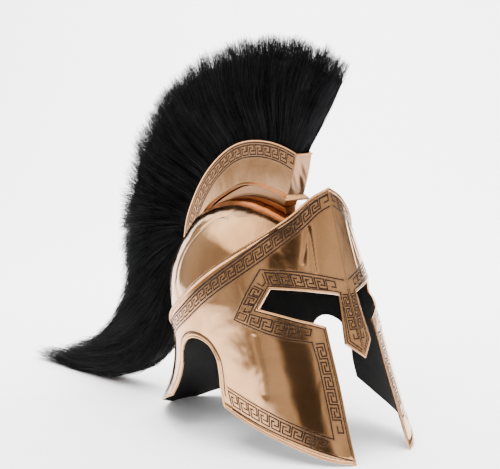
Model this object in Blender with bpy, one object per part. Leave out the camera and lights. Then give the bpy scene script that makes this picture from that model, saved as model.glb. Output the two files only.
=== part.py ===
"""Corinthian helmet with a raised crest box and a horsehair plume.

The helmet stands on the tips of its two cheek guards and the middle of its
neck guard. X runs across the head, the face looks along -Y, Z is up.
"""
import math

import bpy
import numpy as np
from mathutils.geometry import delaunay_2d_cdt

for old in list(bpy.data.objects):
    bpy.data.objects.remove(old, do_unlink=True)

# Driving sizes, in metres
HELMET_HEIGHT = 0.272      # floor to the peak of the brow
HALF_WIDTH = 0.1005        # half the outer width over the ear arches
EAR_Y = 0.020              # where the sides are widest, from front to back
RIDGE_REACH = 0.102        # how far the nose ridge stands before the middle at the brow
NAPE_REACH = 0.1415        # how far the back stands behind the middle
WALL = 0.0014              # sheet metal of the face guard and the skull cap
RIM_WIDTH = 0.0030         # rolled rim round every free edge
RIM_PROUD = 0.0009
BEAD_WIDTH = 0.0042        # rounded bead along the brow band
BEAD_PROUD = 0.0016
CLEARANCE = 0.0003         # gap between pieces that touch
SEAT = 0.0010              # the cap sits this far inside the face guard
CROWN_Z = 0.2575           # top of the dome
CROWN_Y = 0.028            # the dome's top, from front to back
SHOULDER_Z = 0.150         # below this the dome's walls are upright
DOME_FRONT = 0.139         # reach of the dome before its top
DOME_BACK = 0.1135
DOME_HALF = 0.098
CAP_HEM = 0.014            # the cap runs this far down behind the brow band
CAP_FRONT_Z = 0.180        # the cap's front hem, over the eyes
ARC_Y = 0.030              # the crest is set out on arcs round this point
ARC_Z = 0.175
KEEL_HALF = 0.0088
BOX_HALF = 0.0123          # crest box at its foot
BOX_HALF_TOP = 0.0112
BOX_WALL = 0.0013
FLANGE = 0.0055            # foot flange of the crest box
FOLD = 0.003               # depth of the fold down the box's front
EDGE_STEP = 0.010          # longest edge of the mesh along a rim
FIELD_STEP = 0.0145        # spacing of the mesh inside the sheet

# The helmet's outline in plan, by height. Shares of HELMET_HEIGHT and HALF_WIDTH
PLAN_HEIGHT = [0.0, 0.22, 0.44, 0.625, 0.735, 0.845, 1.0]
PLAN_HALF = [1.04, 1.025, 1.0, 0.955, 0.88, 0.79, 0.735]
# The nose ridge leans forward to the chin. Shares of height and RIDGE_REACH
RIDGE_HEIGHT = [0.0, 0.34, 0.68, 1.0]
RIDGE_SHARE = [1.65, 1.325, 1.0, 0.755]
# The back draws in under the band and flares to the rim. Shares of NAPE_REACH
NAPE_HEIGHT = [0.0, 0.09, 0.15, 0.22, 0.30, 0.37, 0.46, 0.55, 0.63, 0.735, 0.845, 1.0]
NAPE_SHARE = [1.187, 1.06, 0.975, 0.89, 0.845, 0.86, 0.965, 1.005, 1.005, 0.915, 0.74, 0.6]
# How steeply each side leaves the ridge, in degrees
CREASE_HEIGHT = [0.0, 0.48, 0.92, 1.0]
CREASE_ANGLE = [12.5, 14.7, 13.0, 13.0]

# Edges of the sheet, laid flat: the way round as a share of the way from the
# nose ridge to the nape at that height, then the share of HELMET_HEIGHT
BROW_LINE = [
    (0.0, 1.0), (0.088, 0.966), (0.182, 0.899), (0.289, 0.826), (0.367, 0.764), (0.458, 0.690),
    (0.528, 0.625), (0.622, 0.539), (0.698, 0.483), (0.750, 0.443), (0.852, 0.388), (0.932, 0.357),
    (1.0, 0.348),
]
NECK_RIM = [(1.0, 0.0), (0.957, 0.003), (0.911, 0.026), (0.825, 0.067)]
EAR_NOTCH = [
    (0.686, 0.140), (0.657, 0.206), (0.635, 0.285), (0.621, 0.3645), (0.591, 0.394), (0.550, 0.408),
    (0.520, 0.404), (0.494, 0.388), (0.475, 0.350), (0.469, 0.294), (0.465, 0.2305),
]
CHEEK = [
    (0.449, 0.166), (0.359, 0.117), (0.281, 0.081), (0.214, 0.049), (0.154, 0.020), (0.093, 0.0),
    (0.098, 0.1415), (0.100, 0.278), (0.101, 0.3886), (0.099, 0.490),
]
EYE = [
    (0.136, 0.506), (0.171, 0.518), (0.225, 0.5375), (0.283, 0.554), (0.244, 0.627), (0.201, 0.6255),
    (0.157, 0.621), (0.097, 0.612), (0.057, 0.604), (0.039, 0.599),
]
NASAL = [(0.046, 0.511), (0.055, 0.423), (0.0, 0.366)]

# The crest, by angle from upright round the arc centre, in degrees. Radii are
# shares of HELMET_HEIGHT, and the keel's heights are in metres
BOX_ANGLE = [-30.0, -7.5, 9.4, 30.0, 43.0, 54.0, 66.0, 84.0]
BOX_TOP = [0.550, 0.533, 0.520, 0.489, 0.472, 0.461, 0.456, 0.444]
KEEL_ANGLE = [-36.0, 10.0, 25.0, 45.0, 90.0]
KEEL_RISE = [0.0115, 0.0100, 0.0065, 0.0050, 0.0050]
BOX_FRONT = -34.5
BOX_FRONT_LEAN = 6.0       # the front wall's top stands this much further back
BOX_BACK = 84.0
CREST_STEPS = 22           # stations along the crest

# Rows of the plume from its front edge to the underside of its tail: root
# angle, two guide points and the tip. Points are (y, z) shares of HELMET_HEIGHT
PLUME_ROWS = [
    (-27.6, (-0.215, 1.240), (-0.295, 1.353), (-0.382, 1.474)),
    (-17.0, (-0.074, 1.287), (-0.103, 1.426), (-0.132, 1.566)),
    (-4.0, (0.081, 1.294), (0.103, 1.441), (0.132, 1.581)),
    (12.0, (0.276, 1.268), (0.349, 1.397), (0.434, 1.518)),
    (30.0, (0.434, 1.169), (0.537, 1.268), (0.672, 1.385)),
    (46.0, (0.560, 1.045), (0.695, 1.110), (0.858, 1.222)),
    (60.0, (0.632, 0.941), (0.779, 0.978), (0.940, 1.045)),
    (69.0, (0.680, 0.827), (0.846, 0.816), (1.010, 0.800)),
    (75.0, (0.699, 0.717), (0.870, 0.650), (0.985, 0.515)),
    (79.0, (0.692, 0.600), (0.838, 0.450), (1.103, 0.265)),
    (81.0, (0.672, 0.410), (0.780, 0.190), (1.415, 0.121)),
    (82.0, (0.650, 0.250), (0.750, -0.100), (1.790, 0.018)),
]
PLUME_SPREAD = [0.013, 0.018, 0.021, 0.022, 0.023, 0.025, 0.027, 0.029, 0.030, 0.029, 0.026, 0.022]
PLUME_LOCKS = 30
LOCK_RIDGE = 0.13          # share by which a lock stands over its valleys
LOCK_NOTCH = 0.06          # share by which the hair between locks is shorter
PLUME_TIP = 0.25           # share of the spread left at the tips


def blend(table_x, table_y, x):
    """Smooth curve through a short table."""
    tx = np.asarray(table_x, float)
    ty = np.asarray(table_y, float)
    slope = np.gradient(ty, tx)
    x = min(max(float(x), tx[0]), tx[-1])
    i = int(min(max(np.searchsorted(tx, x) - 1, 0), len(tx) - 2))
    h = tx[i + 1] - tx[i]
    t = (x - tx[i]) / h
    a = (2 * t**3 - 3 * t**2 + 1) * ty[i] + (t**3 - 2 * t**2 + t) * h * slope[i]
    b = (3 * t**2 - 2 * t**3) * ty[i + 1] + (t**3 - t**2) * h * slope[i + 1]
    return a + b


def bezier(p0, p1, p2, p3, t):
    """Points along a cubic arc."""
    t = np.atleast_1d(t)[:, None]
    p0, p1, p2, p3 = (np.asarray(p, float) for p in (p0, p1, p2, p3))
    return (1 - t)**3 * p0 + 3 * (1 - t)**2 * t * p1 + 3 * (1 - t) * t**2 * p2 + t**3 * p3


SECTIONS = {}


def section(z):
    """Half outline of the helmet at one height: way round, x and y."""
    key = round(z, 6)
    if key in SECTIONS:
        return SECTIONS[key]
    h = min(max(z / HELMET_HEIGHT, 0.0), 1.0)
    half = HALF_WIDTH * blend(PLAN_HEIGHT, PLAN_HALF, h)
    ridge = -RIDGE_REACH * blend(RIDGE_HEIGHT, RIDGE_SHARE, h)
    nape = NAPE_REACH * blend(NAPE_HEIGHT, NAPE_SHARE, h)
    crease = math.radians(blend(CREASE_HEIGHT, CREASE_ANGLE, h))
    nose = half * (0.50 + 0.08 * h)
    side = (EAR_Y - ridge) * (0.98 - 0.40 * h)
    back = nape - EAR_Y
    front_arc = bezier(
        (0.0, ridge),
        (nose * math.cos(crease), ridge + nose * math.sin(crease)),
        (half, EAR_Y - side),
        (half, EAR_Y),
        np.linspace(0, 1, 121),
    )
    back_arc = bezier(
        (half, EAR_Y),
        (half, EAR_Y + 0.552 * back),
        (0.552 * half, nape),
        (0.0, nape),
        np.linspace(0, 1, 121)[1:],
    )
    line = np.vstack([front_arc, back_arc])
    steps = np.hypot(*np.diff(line, axis=0).T)
    SECTIONS[key] = (np.concatenate([[0.0], np.cumsum(steps)]), line[:, 0], line[:, 1])
    return SECTIONS[key]


def girth(z):
    """Way round from the nose ridge to the nape at one height."""
    return float(section(z)[0][-1])


def sheet_point(s, z):
    """Point of the outer face on the +X side."""
    way, xs, ys = section(z)
    return np.array([np.interp(s, way, xs), np.interp(s, way, ys), z])


def sheet_face(s, z, proud):
    """Point a little outside or inside the outer face."""
    step = 0.0006
    end = girth(z)
    along = sheet_point(min(s + step, end), z) - sheet_point(max(s - step, 0.0), z)
    low = max(z - step, 0.0)
    high = z + step
    up = sheet_point(min(s, girth(high)), high) - sheet_point(min(s, girth(low)), low)
    if s < 1e-6:
        up = sheet_point(0.0, high) - sheet_point(0.0, low)
    if s > end - 1e-6:
        up = sheet_point(girth(high), high) - sheet_point(girth(low), low)
    normal = np.cross(along, up)
    if s < 1e-6 or s > end - 1e-6:
        normal[0] = 0.0
    normal /= np.linalg.norm(normal)
    return sheet_point(s, z) + normal * proud


def resample(points, step):
    """A line with no edge longer than step."""
    out = [points[0]]
    for a, b in zip(points[:-1], points[1:]):
        count = max(1, math.ceil(math.dist(a, b) / step - 1e-9))
        for k in range(1, count + 1):
            out.append((a[0] + (b[0] - a[0]) * k / count, a[1] + (b[1] - a[1]) * k / count))
    return out


def inset(points, width):
    """The same line moved into the sheet, its ends kept on the seams."""
    pts = np.array(points)
    runs = np.diff(pts, axis=0)
    lengths = np.linalg.norm(runs, axis=1)
    sides = np.stack([runs[:, 1], -runs[:, 0]], axis=1) / lengths[:, None]
    out = []
    for k, (s, z) in enumerate(pts):
        if 0 < k < len(pts) - 1:
            both = sides[k - 1] + sides[k]
            reach = width / max(0.5 * np.dot(both, both), 0.35)
            out.append((s + both[0] * reach, z + both[1] * reach))
            continue
        run = 0 if k == 0 else len(runs) - 1
        move = width * lengths[run] / abs(runs[run][0]) * np.sign(sides[run][1])
        out.append((0.0 if s < 1e-6 else girth(z + move), z + move))
    return out


def distance_to(line, p):
    """Shortest distance from a point to a line of points, in the flat sheet."""
    a = line[:-1]
    b = line[1:]
    run = b - a
    t = np.clip(np.sum((p - a) * run, axis=1) / np.maximum(np.sum(run * run, axis=1), 1e-18), 0, 1)
    return float(np.min(np.linalg.norm(a + run * t[:, None] - p, axis=1)))


def inside(loop, p):
    """Whether a point lies inside a closed line."""
    x, y = p
    x0, y0 = loop[:, 0], loop[:, 1]
    x1, y1 = np.roll(x0, -1), np.roll(y0, -1)
    cross = (y0 > y) != (y1 > y)
    with np.errstate(divide="ignore", invalid="ignore"):
        at = x0 + (y - y0) * (x1 - x0) / (y1 - y0)
    return bool(np.count_nonzero(cross & (x < at)) % 2)


def from_shares(table):
    """A table of shares as lengths: the way round and the height."""
    out = []
    for share, height in table:
        z = height * HELMET_HEIGHT
        out.append((share * girth(z), z))
    return out


def brow_line():
    """Upper edge of the brow band from the peak to the nape."""
    return from_shares(BROW_LINE)


def lower_line():
    """Neck rim, ear notch, cheek, eye and nose edges, from the nape forward."""
    return from_shares(NECK_RIM + EAR_NOTCH + CHEEK + EYE + NASAL)


def make_object(name, points, faces, material):
    mesh = bpy.data.meshes.new(name)
    mesh.from_pydata([tuple(map(float, p)) for p in points], [], faces)
    mesh.validate()
    mesh.materials.append(material)
    obj = bpy.data.objects.new(name, mesh)
    bpy.context.scene.collection.objects.link(obj)
    return obj


def make_material(name, colour, roughness, metallic):
    material = bpy.data.materials.new(name)
    material.use_nodes = True
    shader = material.node_tree.nodes["Principled BSDF"]
    shader.inputs["Base Color"].default_value = (*colour, 1.0)
    shader.inputs["Roughness"].default_value = roughness
    shader.inputs["Metallic"].default_value = metallic
    material.diffuse_color = (*colour, 1.0)
    return material


def smooth(obj, degrees):
    obj.data.shade_smooth()
    obj.data.set_sharp_from_angle(angle=math.radians(degrees))


def build_face_guard(material):
    """One sheet: brow, nose, eyes, cheeks, ear notches and neck guard."""
    brow = resample(brow_line(), EDGE_STEP)
    lower = resample(lower_line(), EDGE_STEP)
    brow_rings = [inset(brow, width) for width in (BEAD_WIDTH, BEAD_WIDTH + 0.0008)]
    lower_rings = [inset(lower, width) for width in (RIM_WIDTH, RIM_WIDTH + 0.0008)]
    high = brow_rings[1][-1][1]
    low = lower_rings[1][0][1]
    nape = [brow_rings[0][-1]] + [(girth(z), z) for z in np.linspace(high, low, 6)] + [lower_rings[0][0]]
    high = brow_rings[1][0][1]
    low = lower_rings[1][-1][1]
    ridge = [lower_rings[0][-1]] + [(0.0, z) for z in np.linspace(low, high, 8)] + [brow_rings[0][0]]
    loop = brow + nape + lower + ridge
    points = list(loop)
    edges = [(k, (k + 1) % len(loop)) for k in range(len(loop))]
    for ring in brow_rings + lower_rings:
        first = len(points)
        points += ring
        edges += [(first + k, first + k + 1) for k in range(len(ring) - 1)]
    shape = np.array(loop)
    brow_shape = np.array(brow)
    lower_shape = np.array(lower)
    z = 0.006
    row = 0
    while z < HELMET_HEIGHT:
        s = (0.60 + (row % 2) * 0.5) * FIELD_STEP
        while s < girth(z) - 0.006:
            p = np.array([s, z])
            if inside(shape, p) and distance_to(np.vstack([shape, shape[:1]]), p) > 0.0085:
                points.append((s, z))
            s += FIELD_STEP
        z += FIELD_STEP
        row += 1
    flat, _, tris, _, _, _ = delaunay_2d_cdt(points, edges, [list(range(len(loop)))], 1, 1e-7)
    flat = [(p[0], p[1]) for p in flat]

    def proud(p):
        q = np.array(p)
        bead = distance_to(brow_shape, q)
        rim = distance_to(lower_shape, q)
        lift = 0.0
        if bead < BEAD_WIDTH + 0.0003:
            lift = BEAD_PROUD * (0.55 if bead < 1e-5 else 1.0)
        if rim < RIM_WIDTH + 0.0003:
            lift = max(lift, RIM_PROUD)
        return lift

    points = []
    index = {}
    for k, (s, z) in enumerate(flat):
        outer = sheet_face(s, z, proud((s, z)))
        inner = sheet_face(s, z, -WALL)
        seam = s < 1e-6 or s > girth(z) - 1e-6
        for layer, p in (("outer", outer), ("inner", inner)):
            if seam:
                p[0] = 0.0
            index[k, layer, 1] = len(points)
            points.append(p)
            if seam:
                index[k, layer, -1] = index[k, layer, 1]
            else:
                index[k, layer, -1] = len(points)
                points.append(np.array([-p[0], p[1], p[2]]))
    faces = []
    uses = {}
    for tri in tris:
        a, b, c = tri
        area = (flat[b][0] - flat[a][0]) * (flat[c][1] - flat[a][1])
        area -= (flat[c][0] - flat[a][0]) * (flat[b][1] - flat[a][1])
        if area < 0:
            b, c = c, b
        for u, v in ((a, b), (b, c), (c, a)):
            uses[u, v] = True
        for side in (1, -1):
            for layer in ("outer", "inner"):
                f = [index[a, layer, side], index[b, layer, side], index[c, layer, side]]
                if (side == 1) != (layer == "outer"):
                    f.reverse()
                faces.append(f)

    def seam_of(k):
        if index[k, "outer", 1] != index[k, "outer", -1]:
            return "none"
        return "ridge" if flat[k][0] < 1e-6 else "nape"

    for u, v in uses:
        if (v, u) in uses:
            continue
        if seam_of(u) == seam_of(v) != "none":
            continue
        for side in (1, -1):
            o_u, o_v = index[u, "outer", side], index[v, "outer", side]
            i_u, i_v = index[u, "inner", side], index[v, "inner", side]
            ring = [[o_v, o_u, i_u], [o_v, i_u, i_v]]
            if side == -1:
                ring = [f[::-1] for f in ring]
            faces += ring
    obj = make_object("face_guard", points, faces, material)
    smooth(obj, 40)
    return obj


def plan_radius(angle, z):
    """How far the helmet's outer face lies from the dome's axis."""
    _, xs, ys = section(z)
    angles = np.arctan2(xs, -(ys - CROWN_Y))
    return float(np.interp(angle, angles, np.hypot(xs, ys - CROWN_Y)))


def dome_radius(angle, z):
    """How far the skull cap's outer face lies from its own axis."""
    rise = min(max((z - SHOULDER_Z) / (CROWN_Z - SHOULDER_Z), 0.0), 1.0)
    shrink = math.sqrt(max(1.0 - rise * rise, 0.0))
    if shrink < 1e-4:
        return 0.0
    reach = DOME_FRONT * shrink**1.15 if math.cos(angle) > 0 else DOME_BACK * shrink
    half = DOME_HALF * shrink
    power = 2.2
    free = (abs(math.sin(angle) / half)**power + abs(math.cos(angle) / reach)**power)**(-1 / power)
    step = 0.004
    high = min(z, HELMET_HEIGHT - step)
    outer = plan_radius(angle, high)
    turn = (plan_radius(min(angle + 0.03, math.pi), high) - plan_radius(max(angle - 0.03, 0), high)) / 0.06
    lean = (plan_radius(angle, high + step) - plan_radius(angle, max(high - step, 0))) / (2 * step)
    slant = math.sqrt(1 + (turn / outer)**2 + lean**2)
    held = outer - (WALL + SEAT) * slant
    soft = 0.0012
    least = min(free, held)
    return least - soft * math.log(math.exp(-(free - least) / soft) + math.exp(-(held - least) / soft))


def brow_height(angle):
    """Height of the brow band's upper edge in one direction from the axis."""
    line = [sheet_point(s, z) for s, z in resample(brow_line(), EDGE_STEP)]
    angles = [math.atan2(p[0], -(p[1] - CROWN_Y)) for p in line]
    return float(np.interp(angle, angles, [p[2] for p in line]))


def build_skull_cap(material):
    """Domed bowl whose hem runs down inside the face guard."""
    around = 48
    levels = 13
    points = []
    for row in range(levels):
        share = math.sin((row / levels)**1.3 * math.pi / 2)
        for k in range(around):
            angle = 2 * math.pi * k / around
            turn = angle if angle <= math.pi else 2 * math.pi - angle
            hem = min(CAP_FRONT_Z, brow_height(turn) - CAP_HEM)
            z = hem + (CROWN_Z - hem) * share
            r = dome_radius(turn, z)
            points.append((r * math.sin(angle), CROWN_Y - r * math.cos(angle), z))
    points.append((0.0, CROWN_Y, CROWN_Z))
    faces = []
    for row in range(levels - 1):
        for k in range(around):
            a = row * around + k
            b = row * around + (k + 1) % around
            faces.append([a, b, b + around, a + around])
    last = (levels - 1) * around
    for k in range(around):
        faces.append([last + k, last + (k + 1) % around, levels * around])
    obj = make_object("skull_cap", points, faces, material)
    shell = obj.modifiers.new("wall", "SOLIDIFY")
    shell.thickness = WALL
    shell.offset = -1.0
    shell.use_even_offset = True
    smooth(obj, 40)
    return obj


def dome_arc(angle, x):
    """Radius from the crest's centre to the dome, beside its middle line."""
    low = 0.05
    high = 0.16
    for _ in range(40):
        r = 0.5 * (low + high)
        y = ARC_Y + r * math.sin(math.radians(angle))
        z = ARC_Z + r * math.cos(math.radians(angle))
        turn = math.atan2(abs(x), -(y - CROWN_Y))
        reach = math.hypot(x, y - CROWN_Y)
        if z < CROWN_Z and reach < dome_radius(turn, z):
            low = r
        else:
            high = r
    return low


def arc_point(x, angle, r):
    a = math.radians(angle)
    return (x, ARC_Y + r * math.sin(a), ARC_Z + r * math.cos(a))


def keel_top(angle):
    return dome_arc(angle, 0.0) + blend(KEEL_ANGLE, KEEL_RISE, angle)


def build_crest_keel(material):
    """Strip along the top of the dome that carries the crest box."""
    angles = np.linspace(BOX_FRONT, BOX_BACK, CREST_STEPS)
    points = []
    for angle in angles:
        top = keel_top(angle)
        edge = dome_arc(angle, KEEL_HALF) + 2 * CLEARANCE
        middle = dome_arc(angle, 0.0) + 2 * CLEARANCE
        foot = 1.12 * KEEL_HALF
        points += [
            arc_point(-foot, angle, edge), arc_point(-KEEL_HALF, angle, edge + 0.0015),
            arc_point(-KEEL_HALF, angle, top), arc_point(KEEL_HALF, angle, top),
            arc_point(KEEL_HALF, angle, edge + 0.0015), arc_point(foot, angle, edge),
            arc_point(0.0, angle, middle),
        ]
    ring = 7
    faces = [list(range(ring))[::-1]]
    for row in range(len(angles) - 1):
        for k in range(ring):
            a = row * ring + k
            b = row * ring + (k + 1) % ring
            faces.append([a, b, b + ring, a + ring])
    faces.append([(len(angles) - 1) * ring + k for k in range(ring)])
    obj = make_object("crest_keel", points, faces, material)
    smooth(obj, 35)
    return obj


def build_crest_box(material):
    """Thin wall round the plume's root, with a foot flange and a folded front."""
    sides = np.linspace(BOX_FRONT, BOX_BACK, CREST_STEPS)
    stations = []
    for angle in sides:
        lean = BOX_FRONT_LEAN * (BOX_BACK - angle) / (BOX_BACK - BOX_FRONT)
        along = -1.0 if angle == sides[0] else (1.0 if angle == sides[-1] else 0.0)
        stations.append((-1.0, angle, lean, -1.0, along, 0.0))
    stations.append((0.0, BOX_BACK, 0.0, 0.0, 1.0, 0.0))
    for x, angle, lean, out_x, along, fold in stations[:-1][::-1]:
        stations.append((1.0, angle, lean, 1.0, along, fold))
    for x in (0.42, 0.0, -0.42):
        stations.append((x, BOX_FRONT, BOX_FRONT_LEAN, 0.0, -1.0, FOLD if x == 0.0 else 0.25 * FOLD))
    points = []
    for x_share, angle, lean, out_x, along, fold in stations:
        foot = keel_top(angle) + CLEARANCE * 1.3
        top = blend(BOX_ANGLE, BOX_TOP, angle + lean) * HELMET_HEIGHT
        profile = [
            (foot, FLANGE), (foot + 0.0012, FLANGE), (foot + 0.0034, 0.0006),
            (foot + 0.4 * (top - foot), 0.0), (top, 0.0), (top, -BOX_WALL),
            (foot + 0.4 * (top - foot), -BOX_WALL), (foot, -BOX_WALL),
        ]
        for r, out in profile:
            share = (r - foot) / (top - foot)
            half = BOX_HALF + (BOX_HALF_TOP - BOX_HALF) * share
            x = x_share * half + out_x * out
            dent = fold * math.sin(math.pi * min(1.0, max(0.0, share) / 0.9))
            along_arc = angle + lean * share + math.degrees((along * out - along * dent) / r)
            points.append(arc_point(x, along_arc, r))
    ring = 8
    count = len(stations)
    faces = []
    for j in range(count):
        for k in range(ring):
            a = j * ring + k
            b = j * ring + (k + 1) % ring
            c = ((j + 1) % count) * ring + (k + 1) % ring
            d = ((j + 1) % count) * ring + k
            faces.append([a, b, c, d])
    obj = make_object("crest_box", points, faces, material)
    smooth(obj, 35)
    return obj


def plume_row(u):
    """Guide values of the plume at a share of the way from front to tail."""
    at = u * (len(PLUME_ROWS) - 1)
    ticks = list(range(len(PLUME_ROWS)))
    angle = blend(ticks, [r[0] for r in PLUME_ROWS], at)
    guides = []
    for column in (1, 2, 3):
        y = blend(ticks, [r[column][0] for r in PLUME_ROWS], at) * HELMET_HEIGHT
        z = blend(ticks, [r[column][1] for r in PLUME_ROWS], at) * HELMET_HEIGHT
        guides.append((y, z))
    return angle, guides, blend(ticks, PLUME_SPREAD, at)


def build_plume(material):
    """Fan of hair locks on one backing that fills the crest box."""
    count = 2 * PLUME_LOCKS + 1
    root_half = BOX_HALF_TOP - BOX_WALL - CLEARANCE
    reach = [0.0, 0.12, 0.27, 0.42, 0.58, 0.74, 0.88, 1.0]
    left = []
    for i in range(count):
        angle, (guide, bend, tip), spread = plume_row(i / (count - 1))
        lock = i % 2 == 1
        top = blend(BOX_ANGLE, BOX_TOP, angle) * HELMET_HEIGHT
        foot = keel_top(angle) + 2 * CLEARANCE
        root_angle = angle - 1.0 * (1 - i / (count - 1)) if i < 4 else angle
        start = arc_point(0.0, angle, top + 0.005)[1:]
        wave = 0.5 + 0.5 * math.sin(i * 2.39)
        end = 1.0 - (0.0 if lock else LOCK_NOTCH * (0.5 + wave))
        path = bezier(start, guide, bend, tip, np.array(reach) * end)
        row = [arc_point(0.0, root_angle, foot)[1:], arc_point(0.0, angle, top)[1:]]
        halves = [root_half, root_half]
        ridge = 1.0 + LOCK_RIDGE * (1 if lock else -1)
        for v, p in zip(reach, path):
            row.append((p[0], max(p[1], 0.0)))
            swell = math.sin(math.pi * min(v / 1.3, 1.0)) if v < 0.65 else 1.0
            full = root_half + (spread - root_half) * swell
            taper = 1.0 - (1.0 - PLUME_TIP) * max(0.0, (v - 0.5) / 0.5)**1.5
            halves.append(full * taper * (ridge if v > 0.05 else 1.0))
        left.append([(-h, p[0], p[1]) for h, p in zip(halves, row)])
    rows = len(left[0])
    points = [p for strip in left for p in strip]
    half = len(points)
    points += [(-x, y, z) for x, y, z in points]
    faces = []
    for i in range(count - 1):
        for v in range(rows - 1):
            a = i * rows + v
            b = a + rows
            faces += [[a, b + 1, b], [a, a + 1, b + 1]]
            faces += [[half + b, half + b + 1, half + a], [half + b + 1, half + a + 1, half + a]]
    rim = [i * rows for i in range(count)]
    rim += [(count - 1) * rows + v for v in range(1, rows)]
    rim += [i * rows + rows - 1 for i in range(count - 2, -1, -1)]
    rim += [v for v in range(rows - 2, 0, -1)]
    for k, a in enumerate(rim):
        b = rim[(k + 1) % len(rim)]
        faces += [[a, b, half + a], [b, half + b, half + a]]
    obj = make_object("plume", points, faces, material)
    smooth(obj, 30)
    return obj


def settle(objects):
    """Centre the whole over the origin and stand it on the floor."""
    corners = np.array([v.co for obj in objects for v in obj.data.vertices])
    low = corners.min(axis=0)
    high = corners.max(axis=0)
    move = np.array([-(low[0] + high[0]) / 2, -(low[1] + high[1]) / 2, -low[2]])
    for obj in objects:
        for v in obj.data.vertices:
            v.co = v.co + type(v.co)(move)
        obj.data.update()


copper = make_material("polished_copper", (0.80, 0.50, 0.36), 0.22, 1.0)
hair = make_material("black_horsehair", (0.012, 0.012, 0.014), 0.55, 0.0)
pieces = [
    build_face_guard(copper),
    build_skull_cap(copper),
    build_crest_keel(copper),
    build_crest_box(copper),
    build_plume(hair),
]
settle(pieces)
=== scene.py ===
"""Looks of the crested helmet: polished copper with engraved key bands, black hair plume.

Sheets are laid flat, meshed with their engraved lines, and bent to the same
outlines as the solids. Lengths are in metres and angles in radians unless named.
"""
import math

import bpy
import numpy as np
from mathutils import Matrix, Vector
from mathutils.geometry import delaunay_2d_cdt
from mathutils.kdtree import KDTree


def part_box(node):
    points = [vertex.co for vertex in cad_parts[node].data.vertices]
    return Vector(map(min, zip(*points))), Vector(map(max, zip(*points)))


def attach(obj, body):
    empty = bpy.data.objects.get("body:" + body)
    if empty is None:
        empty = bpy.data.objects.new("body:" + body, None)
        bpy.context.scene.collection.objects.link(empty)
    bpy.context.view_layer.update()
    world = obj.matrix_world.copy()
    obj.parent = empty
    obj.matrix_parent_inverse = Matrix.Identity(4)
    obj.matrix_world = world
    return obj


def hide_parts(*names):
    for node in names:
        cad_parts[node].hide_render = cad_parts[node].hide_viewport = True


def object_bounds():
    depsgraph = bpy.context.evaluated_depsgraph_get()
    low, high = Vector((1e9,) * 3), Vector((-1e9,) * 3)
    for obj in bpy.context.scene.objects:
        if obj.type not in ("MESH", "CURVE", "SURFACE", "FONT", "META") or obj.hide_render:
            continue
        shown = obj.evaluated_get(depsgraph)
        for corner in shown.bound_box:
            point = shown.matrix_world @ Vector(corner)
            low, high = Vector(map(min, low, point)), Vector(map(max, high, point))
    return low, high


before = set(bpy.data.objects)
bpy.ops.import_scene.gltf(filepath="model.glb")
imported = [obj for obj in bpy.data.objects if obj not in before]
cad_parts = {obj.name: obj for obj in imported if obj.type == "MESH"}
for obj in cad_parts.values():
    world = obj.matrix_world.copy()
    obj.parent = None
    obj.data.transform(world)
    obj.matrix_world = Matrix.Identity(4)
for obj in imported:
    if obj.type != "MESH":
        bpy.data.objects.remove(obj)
cad_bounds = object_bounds()
MM = 0.001

# Sizes shared with the solids
HELMET_HEIGHT = 0.272
HALF_WIDTH = 0.1005
EAR_Y = 0.020
RIDGE_REACH = 0.102
NAPE_REACH = 0.1415
WALL = 0.0014
CLEARANCE = 0.0003
SEAT = 0.0010
CROWN_Z = 0.2575
CROWN_Y = 0.028
SHOULDER_Z = 0.150
DOME_FRONT = 0.139
DOME_BACK = 0.1135
DOME_HALF = 0.098
CAP_HEM = 0.014
CAP_FRONT_Z = 0.180
ARC_Y = 0.030
ARC_Z = 0.175
KEEL_HALF = 0.0088
BOX_HALF = 0.0123
BOX_HALF_TOP = 0.0112
BOX_WALL = 0.0013
FLANGE = 0.0055
FOLD = 0.003
BOX_FRONT = -34.5
BOX_FRONT_LEAN = 6.0
BOX_BACK = 84.0

PLAN_HEIGHT = [0.0, 0.22, 0.44, 0.625, 0.735, 0.845, 1.0]
PLAN_HALF = [1.04, 1.025, 1.0, 0.955, 0.88, 0.79, 0.735]
RIDGE_HEIGHT = [0.0, 0.34, 0.68, 1.0]
RIDGE_SHARE = [1.65, 1.325, 1.0, 0.755]
NAPE_HEIGHT = [0.0, 0.09, 0.15, 0.22, 0.30, 0.37, 0.46, 0.55, 0.63, 0.735, 0.845, 1.0]
NAPE_SHARE = [1.187, 1.06, 0.975, 0.89, 0.845, 0.86, 0.965, 1.005, 1.005, 0.915, 0.74, 0.6]
CREASE_HEIGHT = [0.0, 0.48, 0.92, 1.0]
CREASE_ANGLE = [12.5, 14.7, 13.0, 13.0]

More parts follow.
